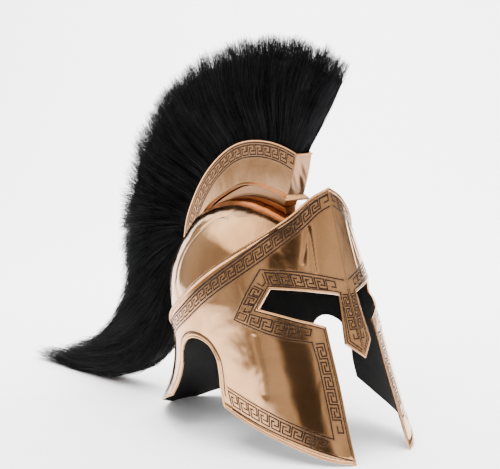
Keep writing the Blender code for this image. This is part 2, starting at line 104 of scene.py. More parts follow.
# Edges of the sheet as shares of the way round at each height, and of the
# height. The lower edge is a chain of runs that meet in corners
BROW_EDGE = [
    (0.0, 1.0), (0.088, 0.966), (0.182, 0.899), (0.289, 0.826), (0.367, 0.764), (0.458, 0.690),
    (0.528, 0.625), (0.622, 0.539), (0.698, 0.483), (0.750, 0.443), (0.852, 0.388), (0.932, 0.357),
    (1.0, 0.348),
]
LOWER_RUNS = [
    [(1.0, 0.0), (0.957, 0.003), (0.911, 0.026), (0.825, 0.067), (0.686, 0.140)],
    [(0.686, 0.140), (0.657, 0.206), (0.635, 0.285), (0.621, 0.3645), (0.591, 0.394), (0.550, 0.408),
     (0.520, 0.404), (0.494, 0.388), (0.475, 0.350), (0.469, 0.294), (0.465, 0.2305), (0.449, 0.166)],
    [(0.449, 0.166), (0.359, 0.117), (0.281, 0.081), (0.214, 0.049), (0.154, 0.020), (0.093, 0.0)],
    [(0.093, 0.0), (0.098, 0.1415), (0.100, 0.278), (0.101, 0.3886), (0.099, 0.490)],
    [(0.099, 0.490), (0.136, 0.506), (0.171, 0.518), (0.225, 0.5375), (0.283, 0.554)],
    [(0.283, 0.554), (0.244, 0.627)],
    [(0.244, 0.627), (0.201, 0.6255), (0.157, 0.621), (0.097, 0.612), (0.057, 0.604), (0.039, 0.599)],
    [(0.039, 0.599), (0.046, 0.511), (0.055, 0.423)],
    [(0.055, 0.423), (0.0, 0.366)],
]

# Lines of the engraved bands in the flat sheet, in millimetres: way round from
# the nose ridge, then height
BAND_AT = [0.0, 0.125, 0.29, 0.40, 0.5, 1.0]
BAND_GROOVE = [4.2, 3.9, 5.9, 7.9, 8.4, 8.2]
BAND_HIGH = [6.2, 5.8, 8.7, 10.3, 10.9, 10.6]
BAND_LOW = [14.4, 13.8, 17.3, 18.8, 19.2, 19.0]
BAND_BORDER = [17.2, 16.7, 20.1, 21.7, 22.1, 22.0]
BORDER = [
    (3.2, 177.3), (29.4, 183.6), (49.9, 187.6), (69, 189.2), (91, 189.8), (112, 165.5), (134.3, 137.5),
    (98, 126.2), (75, 121.2), (55.5, 118.9), (54.3, 100), (54.9, 82.6), (56.5, 50), (58.3, 26.4),
    (75, 32.3), (104.4, 43.0), (128.9, 52.2), (152.6, 61.4), (166.5, 66.6),
]
EYE_TOP_OUT = [(14.5, 176.4), (29.5, 180.2), (50, 184.2), (69, 186.4), (86.5, 187.0)]
EYE_TOP_IN = [(14.5, 167.6), (33, 171.0), (54, 174.0), (70, 175.3), (84.5, 175.2)]
EYE_SIDE_OUT = [(101.6, 173.4), (124.4, 146.6)]
EYE_SIDE_IN = [(92.6, 169.8), (112.2, 146.9)]
EYE_LOW_OUT = [(119.5, 135.8), (98, 129.4), (75, 124.2), (57.5, 122.0)]
EYE_LOW_IN = [(113.4, 145.0), (90, 140.2), (72, 136.0), (52.5, 131.2)]
CHEEK_FRONT_OUT = [(52.0, 117.2), (51.6, 100), (52.0, 82.6), (53.8, 50), (55.0, 32.5)]
CHEEK_FRONT_IN = [(43.2, 117.4), (43.6, 100), (44.0, 82.6), (45.3, 50), (46.5, 31.5)]
CHEEK_LOW_OUT = [(166.5, 63.1), (128.3, 48.6), (64.6, 24.6)]
CHEEK_LOW_IN = [(166.5, 49.9), (124.9, 35.0), (70.5, 17.7)]
CHEEK_RIM_LINE = [(166.0, 45.4), (130.4, 33.2), (93.5, 21.4), (72.2, 14.2), (54.7, 8.4), (42.6, 4.6)]
NASAL_OUT = [(8.8, 163.0), (8.9, 142), (10.6, 119.0)]
NASAL_IN = [(2.9, 163.0), (2.7, 142), (2.7, 119.0)]

# The crest, by angle from upright round the arc centre, in degrees
BOX_ANGLE = [-30.0, -7.5, 9.4, 30.0, 43.0, 54.0, 66.0, 84.0]
BOX_TOP = [0.550, 0.533, 0.520, 0.489, 0.472, 0.461, 0.456, 0.444]
KEEL_ANGLE = [-36.0, 10.0, 25.0, 45.0, 90.0]
KEEL_RISE = [0.0115, 0.0100, 0.0065, 0.0050, 0.0050]

# Panel crease of the dome: polar angle in degrees from the front, height in mm
DOME_CREASE = [
    (106.0, 141), (108.3, 148), (115.3, 160), (117.6, 174), (117.2, 189), (114.6, 201), (109.5, 211),
    (104.4, 221.5), (98.2, 232), (89.5, 236.9), (81.4, 238.8), (72.7, 233.4), (63.7, 227.4),
    (57.5, 220.2), (53.6, 213.4),
]

# Rows of the plume, as in the solids: root angle, two guide points and the tip
PLUME_ROWS = [
    (-27.6, (-0.215, 1.240), (-0.295, 1.353), (-0.382, 1.474)),
    (-17.0, (-0.074, 1.287), (-0.103, 1.426), (-0.132, 1.566)),
    (-4.0, (0.081, 1.294), (0.103, 1.441), (0.132, 1.581)),
    (12.0, (0.276, 1.268), (0.349, 1.397), (0.434, 1.518)),
    (30.0, (0.434, 1.169), (0.537, 1.268), (0.672, 1.385)),
    (46.0, (0.560, 1.045), (0.695, 1.110), (0.858, 1.222)),
    (60.0, (0.632, 0.941), (0.779, 0.978), (0.940, 1.045)),
    (69.0, (0.680, 0.827), (0.846, 0.816), (1.010, 0.800)),
    (75.0, (0.699, 0.717), (0.870, 0.650), (0.985, 0.515)),
    (79.0, (0.692, 0.600), (0.838, 0.450), (1.103, 0.265)),
    (81.0, (0.672, 0.410), (0.780, 0.190), (1.415, 0.121)),
    (82.0, (0.650, 0.250), (0.750, -0.100), (1.790, 0.018)),
]
PLUME_SPREAD = [0.013, 0.018, 0.021, 0.022, 0.023, 0.025, 0.027, 0.029, 0.030, 0.029, 0.026, 0.022]

SHEET_ROWS = 273
SHEET_COLS = 1201
PLAN_COLS = 361

# Edge lengths of the meshes
EDGE_STEP = 0.0013         # along the rolled edges and on the rolls beside them
FACE_STEP = 0.0024
INNER_STEP = 0.0055
BOX_STEP = 0.0026
KEY_STEP = 0.0030          # along an engraved line

# Half widths of engraved lines at the surface: keys, the groove under the brow
# bead, and the borders from wide to fine
GROOVE_HALF = 0.00076
BEAD_GROOVE_HALF = 0.0010
BORDER_HALF = 0.0007
FINE_HALF = 0.0006
HAIRLINE_HALF = 0.00045
FLOOR_SHARE = 0.62         # width of a groove's floor as a share of that
GROOVE_DEPTH = 0.00045
WEAR_REACH = 0.0019        # how far the tarnish spreads from an engraved line
LAND, GROOVE_EDGE, GROOVE_FLOOR, BEAD, LIP = range(5)


# Curves and sections
def unit(vectors):
    return vectors / np.maximum(np.linalg.norm(vectors, axis=-1, keepdims=True), 1e-15)


def lengths(line):
    """Way along a line at each of its points."""
    return np.concatenate([[0.0], np.cumsum(np.linalg.norm(np.diff(line, axis=0), axis=1))])


def blend(table_x, table_y, x):
    """Smooth curve through a short table."""
    tx = np.asarray(table_x, float)
    ty = np.asarray(table_y, float)
    slope = np.gradient(ty, tx)
    x = np.clip(np.asarray(x, float), tx[0], tx[-1])
    i = np.clip(np.searchsorted(tx, x) - 1, 0, len(tx) - 2)
    h = tx[i + 1] - tx[i]
    t = (x - tx[i]) / h
    a = (2 * t**3 - 3 * t**2 + 1) * ty[i] + (t**3 - 2 * t**2 + t) * h * slope[i]
    return a + (3 * t**2 - 2 * t**3) * ty[i + 1] + (t**3 - t**2) * h * slope[i + 1]


def bezier(p0, p1, p2, p3, t):
    """Points along a cubic arc, or along many at once."""
    t = np.asarray(t, float)[..., None]
    p0, p1, p2, p3 = (np.asarray(p, float) for p in (p0, p1, p2, p3))
    return (1 - t)**3 * p0 + 3 * (1 - t)**2 * t * p1 + 3 * (1 - t) * t**2 * p2 + t**3 * p3


def section(z):
    """Half outline of the helmet at one height."""
    h = min(max(z / HELMET_HEIGHT, 0.0), 1.0)
    half = HALF_WIDTH * blend(PLAN_HEIGHT, PLAN_HALF, h)
    ridge = -RIDGE_REACH * blend(RIDGE_HEIGHT, RIDGE_SHARE, h)
    nape = NAPE_REACH * blend(NAPE_HEIGHT, NAPE_SHARE, h)
    crease = math.radians(blend(CREASE_HEIGHT, CREASE_ANGLE, h))
    nose = half * (0.50 + 0.08 * h)
    side = (EAR_Y - ridge) * (0.98 - 0.40 * h)
    back = nape - EAR_Y
    t = np.linspace(0, 1, 241)
    front_arc = bezier(
        (0.0, ridge),
        (nose * math.cos(crease), ridge + nose * math.sin(crease)),
        (half, EAR_Y - side),
        (half, EAR_Y),
        t,
    )
    back_arc = bezier(
        (half, EAR_Y),
        (half, EAR_Y + 0.552 * back),
        (0.552 * half, nape),
        (0.0, nape),
        t[1:],
    )
    return np.vstack([front_arc, back_arc])


def lookup(tables, row, col):
    """Values between the grid points of tables of one shape."""
    rows, cols = tables[0].shape
    k = np.clip(row.astype(int), 0, rows - 2)
    i = np.clip(col.astype(int), 0, cols - 2)
    rise = row - k
    aside = col - i
    out = []
    for table in tables:
        low = table[k, i] * (1 - aside) + table[k, i + 1] * aside
        high = table[k + 1, i] * (1 - aside) + table[k + 1, i + 1] * aside
        out.append(low * (1 - rise) + high * rise)
    return out


class Sheet:
    """The helmet's outer face as a table over the flat sheet."""

    def __init__(self):
        self.z = np.linspace(0.0, HELMET_HEIGHT, SHEET_ROWS)
        self.x = np.zeros((SHEET_ROWS, SHEET_COLS))
        self.y = np.zeros((SHEET_ROWS, SHEET_COLS))
        self.girths = np.zeros(SHEET_ROWS)
        share = np.linspace(0, 1, SHEET_COLS)
        for k, z in enumerate(self.z):
            line = section(z)
            way = lengths(line)
            self.girths[k] = way[-1]
            self.x[k] = np.interp(share, way / way[-1], line[:, 0])
            self.y[k] = np.interp(share, way / way[-1], line[:, 1])

    def girth(self, z):
        return np.interp(z, self.z, self.girths)

    def point(self, s, z):
        """Points of the outer face; a way below 0 or past the nape is mirrored."""
        s = np.asarray(s, float)
        z = np.clip(np.asarray(z, float), 0.0, HELMET_HEIGHT)
        girth = self.girth(z)
        flip = np.where((s < 0) | (s > girth), -1.0, 1.0)
        s = np.abs(s)
        s = np.where(s > girth, 2 * girth - s, s)
        row = z / HELMET_HEIGHT * (SHEET_ROWS - 1)
        x, y = lookup((self.x, self.y), row, np.clip(s / girth, 0, 1) * (SHEET_COLS - 1))
        return np.stack([flip * x, y, z], axis=-1)

    def frame(self, s, z):
        """Point, outward normal and the two unit directions of the flat sheet."""
        step = 0.0011
        back = np.where(s < 1e-7, step, np.minimum(step, np.maximum(s, 0.0)))
        along = self.point(s + step, z) - self.point(s - back, z)
        up = self.point(s, z + step) - self.point(s, z - step)
        return self.point(s, z), unit(np.cross(along, up)), unit(along), unit(up)


SHEET = Sheet()


def straight(points, step):
    """A line with its corners kept and no edge longer than step."""
    p = np.asarray(points, float)
    out = [p[0]]
    for a, b in zip(p[:-1], p[1:]):
        count = max(1, math.ceil(np.linalg.norm(b - a) / step))
        out += [a + (b - a) * k / count for k in range(1, count + 1)]
    return np.array(out)


def spline(points, step):
    """The same line, smooth."""
    p = np.asarray(points, float)
    if len(p) == 2:
        return straight(p, step)
    way = lengths(p)
    at = np.linspace(0, way[-1], max(2, math.ceil(way[-1] / step)) + 1)
    return np.stack([blend(way, p[:, 0], at), blend(way, p[:, 1], at)], axis=1)


def at_share(line, t):
    """Points at shares of a line's length."""
    way = lengths(line)
    return np.stack([np.interp(t, way / way[-1], line[:, k]) for k in (0, 1)], axis=-1)


def side_normals(line):
    """Unit normals on the right of a line."""
    run = unit(np.gradient(line, axis=0))
    return np.stack([run[:, 1], -run[:, 0]], axis=1)


def from_shares(table):
    """A line in the flat sheet from shares of the way round and of the height."""
    share, height = np.array(table).T
    z = height * HELMET_HEIGHT
    return np.stack([share * SHEET.girth(z), z], axis=1)


def mm(table):
    return np.array(table, float) * MM


# Engraved lines
def stroke(line, half):
    """Closed outline round an open line of straight legs, with square ends."""
    runs = unit(np.diff(line, axis=0))
    sides = np.stack([runs[:, 1], -runs[:, 0]], axis=1)
    both = sides[:-1] + sides[1:]
    corners = both / np.maximum(0.5 * (both**2).sum(axis=1, keepdims=True), 0.25)
    reach = np.vstack([sides[:1], corners, sides[-1:]]) * half
    return np.vstack([line - reach, (line + reach)[::-1]])


# One key by way along the band, in keys, and by height in it. Its last points
# reach into the next key, so that the two interlock
KEY = [
    (0.53, 0.68), (0.23, 0.68), (0.23, 0.0), (1.0, 0.0),
    (1.0, 1.0), (1.83, 1.0), (1.83, 0.36), (1.40, 0.36),
]
KEY_LEAD_IN = 3            # first point of the part key at a band's start
KEY_END = 1.83


def on_band(low, high, t, v):
    a = at_share(low, np.clip(t, 0, 1))
    return a + (at_share(high, np.clip(t, 0, 1)) - a) * v


def key_lines(low, high, units):
    """Keys along a whole band: part of a key to lead in, then as many whole ones as fit."""
    out = []
    for k in range(-1, math.floor(units - KEY_END + 0.001) + 1):
        legs = KEY if k >= 0 else KEY[KEY_LEAD_IN:]
        line = []
        for (ua, va), (ub, vb) in zip(legs[:-1], legs[1:]):
            start, end = k + ua, k + ub
            reach = on_band(low, high, end / units, vb) - on_band(low, high, start / units, va)
            steps = max(1, math.ceil(float(np.linalg.norm(reach)) / KEY_STEP))
            for f in np.arange(steps + 1) / steps:
                p = on_band(low, high, (start + (end - start) * f) / units, va + (vb - va) * f)
                if not line or np.linalg.norm(p - line[-1]) > 1e-4:
                    line.append(p)
        out.append(np.array(line))
    return out


# Flat meshing
class Flat:
    """Points and fixed edges of a flat sheet on their way to a mesh."""

    def __init__(self):
        self.points = []
        self.edges = []
        self.kind = []
        self.lift = []
        self.tilt = []

    def add(self, points, kind=LAND, lift=0.0, tilt=(0.0, 0.0, 0.0)):
        first = len(self.points)
        count = len(points)
        self.points += [tuple(p) for p in points]
        self.kind += [kind] * count
        self.lift += [lift] * count
        self.tilt += [tuple(t) for t in np.broadcast_to(tilt, (count, 3))]
        return list(range(first, first + count))

    def chain(self, ids, closed=False):
        self.edges += list(zip(ids[:-1], ids[1:]))
        if closed:
            self.edges.append((ids[-1], ids[0]))

    def engrave(self, line, half):
        """Outlines of a line at the surface and of the narrower floor of its groove."""
        floor = half * FLOOR_SHARE
        self.chain(self.add(stroke(line, half), GROOVE_EDGE), True)
        short = line.copy()
        short[0] += unit(line[1] - line[0]) * (half - floor)
        short[-1] -= unit(line[-1] - line[-2]) * (half - floor)
        self.chain(self.add(stroke(short, floor), GROOVE_FLOOR, -GROOVE_DEPTH), True)

    def mesh(self, loop):
        verts, _, tris, origin, _, _ = delaunay_2d_cdt(
            [Vector(p) for p in self.points], self.edges, [list(loop)], 1, 1e-9)
        flat = np.array([(v[0], v[1]) for v in verts])
        pick = np.array([o[0] if o else -1 for o in origin])
        kind = np.where(pick >= 0, np.array(self.kind)[pick], LAND)
        lift = np.where(pick >= 0, np.array(self.lift)[pick], 0.0)
        tilt = np.where((pick >= 0)[:, None], np.array(self.tilt, float)[pick], 0.0)
        tris = np.array([t for t in tris if len(t) == 3])
        a, b, c = (flat[tris[:, k]] for k in range(3))
        area = (b[:, 0] - a[:, 0]) * (c[:, 1] - a[:, 1]) - (c[:, 0] - a[:, 0]) * (b[:, 1] - a[:, 1])
        tris[area < 0] = tris[area < 0][:, ::-1]
        return flat, kind, lift, tilt, tris[np.abs(area) > 1e-12]


def inside(loop, points):
    """Which points lie inside a closed line, by counting the edges on their right."""
    x, y = points.T
    hit = np.zeros(len(points), bool)
    for (x0, y0), (x1, y1) in zip(loop, np.roll(loop, -1, axis=0)):
        if y0 != y1:
            hit ^= ((y0 > y) != (y1 > y)) & (x < x0 + (y - y0) * (x1 - x0) / (y1 - y0))
    return hit


def line_gap(points, line):
    """Exact distance of points from one line."""
    gap = np.full(len(points), 1.0)
    for a, b in zip(line[:-1], line[1:]):
        run = b - a
        t = np.clip((points - a) @ run / (run @ run), 0, 1)
        gap = np.minimum(gap, np.linalg.norm(points - a - t[:, None] * run, axis=1))
    return gap


def nearest_gap(points, lines, step):
    """Distance of points from the nearest of many lines, which are sampled at a step."""
    samples = np.vstack([straight(line, step) for line in lines])
    tree = KDTree(len(samples))
    for k, p in enumerate(samples):
        tree.insert((*p, 0.0), k)
    tree.balance()
    return np.array([tree.find((*p, 0.0))[2] for p in points])


def clear_points(points, lines, gap):
    """Points farther than gap from every line."""
    return points[nearest_gap(points, lines, 0.0006) > gap]


def line_wear(points, lines):
    """How much of the tarnish round the engraved lines each point of a sheet gets."""
    return np.exp(-(nearest_gap(points, lines, 0.0008) / WEAR_REACH)**2)


def field(loop, spacing):
    """Staggered points that fill a closed line."""
    low = loop.min(axis=0)
    high = loop.max(axis=0)
    out = []
    for k, z in enumerate(np.arange(low[1] + spacing / 2, high[1], spacing * 0.87)):
        xs = np.arange(low[0] + spacing * (0.5 + 0.5 * (k % 2)), high[0], spacing)
        out.append(np.stack([xs, np.full(len(xs), z)], axis=1))
    points = np.vstack(out)
    return points[inside(loop, points)]


def roll_profile(width, height, steps):
    """Half round roll: distance from the edge, lift, and the two parts of its normal."""
    rows = []
    for k in range(steps + 1):
        a = math.pi * k / steps
        back = -height * math.cos(a)
        out = 0.5 * width * math.sin(a)
        size = math.hypot(back, out)
        rows.append((0.5 * width * (1 - math.cos(a)), height * math.sin(a), back / size, out / size))
    return rows


def offset_run(line, width, start, end):
    """A run moved sideways by width, from one mitre point to the other."""
    normals = side_normals(line)
    moved = line + normals * width
    keep = np.ones(len(moved), bool)
    for mitre, at, beside in ((start, 0, 1), (end, -1, -2)):
        run = unit(line[beside] - line[at])
        near = np.linalg.norm(line - line[at], axis=1) < 6 * width + 0.004
        keep &= ~(near & ((moved - mitre) @ run < 0.0006))
    return np.vstack([start, moved[keep], end]), np.vstack([normals[0], normals[keep], normals[-1]])


def meet(p, d, q, e):
    """Where two lines given by point and direction cross."""
    m = np.array([[d[0], -e[0]], [d[1], -e[1]]])
    t = np.linalg.solve(m, np.asarray(q) - p)
    return p + t[0] * d


def end_mitre(run, width, at, beside, seam):
    """Where the moved end of a chain lies: on the ridge, on the nape, or square to the run."""
    p = run[at] + side_normals(run)[at] * width
    if seam == "ridge":
        return meet(p, run[beside] - run[at], (0.0, 0.0), (0.0, 1.0))
    if seam == "nape":
        return np.array([float(SHEET.girth(p[1])), p[1]])
    return p


def edge_rings(runs, profile, seams):
    """Rings inside a chain of runs, one for each row of a roll's profile."""
    rings = []
    for width, lift, back, out in profile:
        mitres = [end_mitre(runs[0], width, 0, 1, seams[0])]
        for a, b in zip(runs[:-1], runs[1:]):
            p = a[-1] + side_normals(a)[-1] * width
            q = b[0] + side_normals(b)[0] * width
            mitres.append(meet(p, a[-1] - a[-2], q, b[1] - b[0]))
        mitres.append(end_mitre(runs[-1], width, -1, -2, seams[1]))
        ring = []
        normals = []
        for k, run in enumerate(runs):
            points, sides = run, side_normals(run)
            if width > 0:
                points, sides = offset_run(run, width, mitres[k], mitres[k + 1])
            ring += list(points[1 if ring else 0:])
            normals += list(sides[1 if normals else 0:])
        rings.append((np.array(ring), np.array(normals), lift, back, out))
    return rings


# Mesh objects
def new_object(name, points, tris, materials, slots=None, normals=None, tarnish_and_shade=None):
    mesh = bpy.data.meshes.new(name)
    mesh.vertices.add(len(points))
    mesh.vertices.foreach_set("co", np.asarray(points, np.float64).ravel())
    mesh.loops.add(tris.size)
    mesh.loops.foreach_set("vertex_index", tris.ravel())
    mesh.polygons.add(len(tris))
    mesh.polygons.foreach_set("loop_start", np.arange(len(tris)) * 3)
    for m in materials:
        mesh.materials.append(m)
    if slots is not None:
        mesh.polygons.foreach_set("material_index", slots.astype(np.int32))
    mesh.update(calc_edges=True)
    mesh.shade_smooth()
    if tarnish_and_shade is not None:
        mesh.attributes.new("tarnish_and_shade", "FLOAT", "POINT").data.foreach_set("value", tarnish_and_shade.astype(np.float32))
    if normals is not None:
        mesh.normals_split_custom_set(normals.reshape(-1, 3))
    obj = bpy.data.objects.new(name, mesh)
    bpy.context.scene.collection.objects.link(obj)
    return obj


def grid_tris(rows, cols, wrap=False):
    """Triangles of a grid of points stored row by row."""
    i, j = np.meshgrid(np.arange(rows - 1), np.arange(cols if wrap else cols - 1), indexing="ij")
    a = i * cols + j
    b = i * cols + (j + 1) % cols
    return np.stack([a, b, b + cols, a, b + cols, a + cols], axis=-1).reshape(-1, 3)


def face_crosses(points, tris):
    """Face normals as long as twice the face's area."""
    a, b, c = (points[tris[:, k]] for k in range(3))
    return np.cross(b - a, c - a)


def flat_corners(points, tris):
    return np.repeat(unit(face_crosses(points, tris))[:, None, :], 3, axis=1)


def smooth_normals(points, tris):
    """Point normals from the faces round each point."""
    crosses = face_crosses(points, tris)
    out = np.zeros_like(points)
    for k in range(3):
        np.add.at(out, tris[:, k], crosses)
    return unit(out)


def mirrored(points, tris, corners, slots):
    """A half and its mirror image across X = 0."""
    return (
        np.vstack([points, points * (-1, 1, 1)]),
        np.vstack([tris, tris[:, ::-1] + len(points)]),
        np.vstack([corners, corners[:, ::-1] * (-1, 1, 1)]),
        np.concatenate([slots, slots]),
    )


def engraved_corners(points, tris, kind, normals):
    """Corner normals of the sheet, flat on groove walls, and which faces belong to a groove."""
    corners = normals[tris]
    floor = kind[tris] == GROOVE_FLOOR
    groove = floor.any(axis=1)
    wall = groove & ~floor.all(axis=1)
    corners[wall] = flat_corners(points, tris[wall])
    return corners, groove


# Materials
def feed(tree, inputs, values):
    """Link a value to each named input, or set it there."""
    for key, value in values.items():
        if isinstance(value, bpy.types.NodeSocket):
            tree.links.new(value, inputs[key])
        else:
            inputs[key].default_value = value


def node(tree, kind, inputs, **settings):
    n = tree.nodes.new(kind)
    for key, value in settings.items():
        setattr(n, key, value)
    feed(tree, n.inputs, inputs)
    return n


def new_material(name):
    m = bpy.data.materials.new(name)
    m.use_nodes = True
    return m, m.node_tree, node(m.node_tree, "ShaderNodeTexCoord", {}).outputs["Object"]


def shade(tree, values):
    feed(tree, tree.nodes["Principled BSDF"].inputs, values)


def ramp(tree, fac, *stops):
    n = node(tree, "ShaderNodeValToRGB", {"Fac": fac})
    points = n.color_ramp.elements
    while len(points) < len(stops):
        points.new(0.5)
    for point, (at, colour) in zip(points, stops):
        point.position = at
        point.color = (*colour, 1.0)
    return n.outputs["Color"]


def grey_ramp(tree, fac, *stops):
    return ramp(tree, fac, *((at, (grey,) * 3) for at, grey in stops))


def noise(tree, coords, scale, detail, rough=0.6, distort=0.0, stretch=None):
    if stretch:
        coords = node(tree, "ShaderNodeMapping", {"Vector": coords, "Scale": stretch}).outputs["Vector"]
    inputs = {"Vector": coords, "Scale": scale, "Detail": detail, "Roughness": rough, "Distortion": distort}
    return node(tree, "ShaderNodeTexNoise", inputs).outputs["Fac"]


def bump(tree, height, strength, distance, **under):
    inputs = {"Height": height, "Strength": strength, "Distance": distance, **under}
    return node(tree, "ShaderNodeBump", inputs).outputs["Normal"]


def mix(tree, fac, a, b, mode="MIX"):
    """Two colours mixed; a plain colour is the second one."""
    n = node(tree, "ShaderNodeMix", {0: fac, 6: a}, data_type="RGBA", blend_type=mode)
    feed(tree, n.inputs, {7: (*b, 1.0) if isinstance(b, tuple) else b})
    return n.outputs[2]


def maths(tree, operation, *values):
    return node(tree, "ShaderNodeMath", dict(enumerate(values)), operation=operation).outputs[0]


def copper_material(name, wave, age_and_shade=0.0, dullness=0.0):
    """Polished copper: warm tone drift, faint tarnish, a darker brown that on the keel and the box's flange
    is painted shade, slow hand-beaten waves and wipe marks.
    """
    m, tree, coords = new_material(name)
    tone = noise(tree, coords, 9.0, 5.0, 0.6, 0.4)
    colour = ramp(
        tree, tone, (0.28, (0.48, 0.245, 0.115)), (0.5, (0.62, 0.338, 0.168)), (0.72, (0.74, 0.430, 0.232)))
    spots = noise(tree, coords, 60.0, 8.0, 0.7, 0.8)
    stain = grey_ramp(tree, spots, (0.0, 0.0), (0.60, 0.0), (0.78, 0.5))
    stained = mix(tree, stain, colour, (0.46, 0.24, 0.13))
    # Darkening by a set amount: on the keel it paints the shade under the crest box, partly tarnish; on the
    # front plate it is age.
    aged_and_shaded = mix(tree, age_and_shade, stained, (0.31, 0.170, 0.090))
    # Darkening by a per-point attribute: real tarnish round the engraved lines, painted shade on the keel
    # and on the crest box's flange.
    tarnish_and_shade = node(tree, "ShaderNodeAttribute", {}, attribute_name="tarnish_and_shade").outputs["Fac"]
    rub = grey_ramp(tree, noise(tree, coords, 320.0, 5.0, 0.65, 0.2), (0.32, 0.30), (0.66, 0.95))
    tarnish_and_shade_mix = maths(tree, "MULTIPLY", tarnish_and_shade, rub)
    wipe = noise(tree, coords, 22.0, 6.0, 0.65, 0.0, (1.0, 1.0, 5.0))
    polish = grey_ramp(tree, wipe, (0.25, 0.08), (0.75, 0.17))
    beat = noise(tree, coords, 13.0, 3.0, 0.45, 0.5, (1.3, 1.3, 0.7))
    slow = bump(tree, beat, wave, 0.004)
    shade(tree, {
        "Base Color": mix(tree, tarnish_and_shade_mix, aged_and_shaded, (0.32, 0.180, 0.105)),
        "Metallic": 1.0,
        "Roughness": maths(tree, "ADD", polish, maths(tree, "MULTIPLY_ADD", tarnish_and_shade, 0.16, dullness)),
        "Normal": bump(tree, noise(tree, coords, 900.0, 3.0), 0.02, 0.0004, Normal=slow),
    })
    return m


def patina_material(name):
    """Brown-black patina left in the engraved lines."""
    m, tree, coords = new_material(name)
    tone = noise(tree, coords, 240.0, 6.0, 0.6, 0.2)
    browns = [(0.3, (0.010, 0.005, 0.003)), (0.55, (0.024, 0.011, 0.006)), (0.8, (0.060, 0.028, 0.015))]
    shade(tree, {
        "Base Color": ramp(tree, tone, *browns),
        "Metallic": 0.25,
        "Specular IOR Level": 0.2,
        "Roughness": grey_ramp(tree, tone, (0.3, 0.75), (0.8, 0.5)),
    })
    return m


def dull_material(name, grain, dark, light, roughness, shine, relief=None):
    """Matt surface whose colour drifts with a noise, and its relief if it has any."""
    m, tree, coords = new_material(name)
    colour = ramp(tree, noise(tree, coords, *grain), dark, light)
    shade(tree, {"Base Color": colour, "Roughness": roughness, "Specular IOR Level": shine})
    if relief:
        lumps, strength, distance = relief
        shade(tree, {"Normal": bump(tree, noise(tree, coords, *lumps), strength, distance)})
    return m


def hair_material(name, shine):
    """Black horsehair: a blue-grey sheen painted into the base colour that differs from lock to lock, over a
    real specular gleam.
    """
    m, tree, coords = new_material(name)
    tone = noise(tree, coords, 34.0, 4.0, 0.6, 0.2, (2.2, 1.0, 1.0))
    fine = noise(tree, coords, 700.0, 3.0)
    both = maths(tree, "ADD", maths(tree, "MULTIPLY", tone, 0.6), maths(tree, "MULTIPLY", fine, 0.4))
    # The lightest hair colour is a painted sheen: blue-grey highlights put into the base colour.
    painted_sheen = (0.0048 * shine, 0.0048 * shine, 0.0054 * shine)
    shade(tree, {
        "Base Color": ramp(tree, both, (0.38, (0.0012, 0.0012, 0.0014)), (0.62, painted_sheen)),
        "Roughness": grey_ramp(tree, fine, (0.3, 0.5), (0.7, 0.68)),
        "Specular IOR Level": 0.055 * shine,
    })
    return m


COPPER = copper_material("polished_copper_face", 0.6)
COPPER_CAP = copper_material("polished_copper_dome", 0.7)
COPPER_CREST = copper_material("polished_copper_crest", 0.3)
COPPER_PLATE = copper_material("polished_copper_plate", 0.3, 0.75, 0.12)
# Keel copper: darker and duller to paint the shade under the crest box, partly tarnish.
COPPER_KEEL_SHADED = copper_material("copper_keel_painted_shade", 0.3, 0.75, 0.2)
PATINA = patina_material("engraved_patina")
BLACK = dull_material(
    "inner_black_paint", (45.0, 5.0, 0.6, 0.3), (0.35, (0.003, 0.003, 0.003)), (0.8, (0.008, 0.0075, 0.007)),
    0.72, 0.22, ((260.0, 4.0), 0.35, 0.001))
CORE = dull_material(
    "horsehair_core", (120.0, 5.0, 0.6, 0.6), (0.3, (0.003, 0.003, 0.0034)), (0.8, (0.007, 0.007, 0.008)),
    0.9, 0.05, ((120.0, 5.0, 0.6, 0.6), 0.6, 0.002))
HAIR = [hair_material("horsehair_%d" % k, shine) for k, shine in enumerate((0.8, 1.2, 1.7))]


# Dome and crest, as in the solids
def plan_table():
    """The outer face's distance from the dome's axis, by height and angle."""
    angles = np.linspace(0, math.pi, PLAN_COLS)
    rows = []
    for x, y in zip(SHEET.x, SHEET.y - CROWN_Y):
        rows.append(np.interp(angles, np.arctan2(x, -y), np.hypot(x, y)))
    return np.array(rows)


PLAN = plan_table()


def plan_radius(angle, z):
    row = np.clip(z / HELMET_HEIGHT, 0, 1) * (SHEET_ROWS - 1)
    return lookup((PLAN,), row, np.clip(angle / math.pi, 0, 1) * (PLAN_COLS - 1))[0]


def dome_radius(angle, z):
    """How far the skull cap's outer face lies from its own axis."""
    angle, z = np.broadcast_arrays(angle, z)
    rise = np.clip((z - SHOULDER_Z) / (CROWN_Z - SHOULDER_Z), 0.0, 1.0)
    shrink = np.sqrt(np.maximum(1.0 - rise * rise, 0.0))
    safe = np.maximum(shrink, 1e-4)
    reach = np.where(np.cos(angle) > 0, DOME_FRONT * safe**1.15, DOME_BACK * safe)
    half = DOME_HALF * safe
    power = 2.2
    free = (np.abs(np.sin(angle) / half)**power + np.abs(np.cos(angle) / reach)**power)**(-1 / power)
    turn_step = 0.03
    step = 0.004
    high = np.minimum(z, HELMET_HEIGHT - step)
    outer = plan_radius(angle, high)
    ahead = plan_radius(np.minimum(angle + turn_step, math.pi), high)
    behind = plan_radius(np.maximum(angle - turn_step, 0), high)
    lean = (plan_radius(angle, high + step) - plan_radius(angle, np.maximum(high - step, 0))) / (2 * step)
    slant = np.sqrt(1 + ((ahead - behind) / (2 * turn_step) / outer)**2 + lean**2)
    held = outer - (WALL + SEAT) * slant
    soft = 0.0012
    least = np.minimum(free, held)
    radius = least - soft * np.log(np.exp(-(free - least) / soft) + np.exp(-(held - least) / soft))
    return np.where(shrink < 1e-4, 0.0, radius)


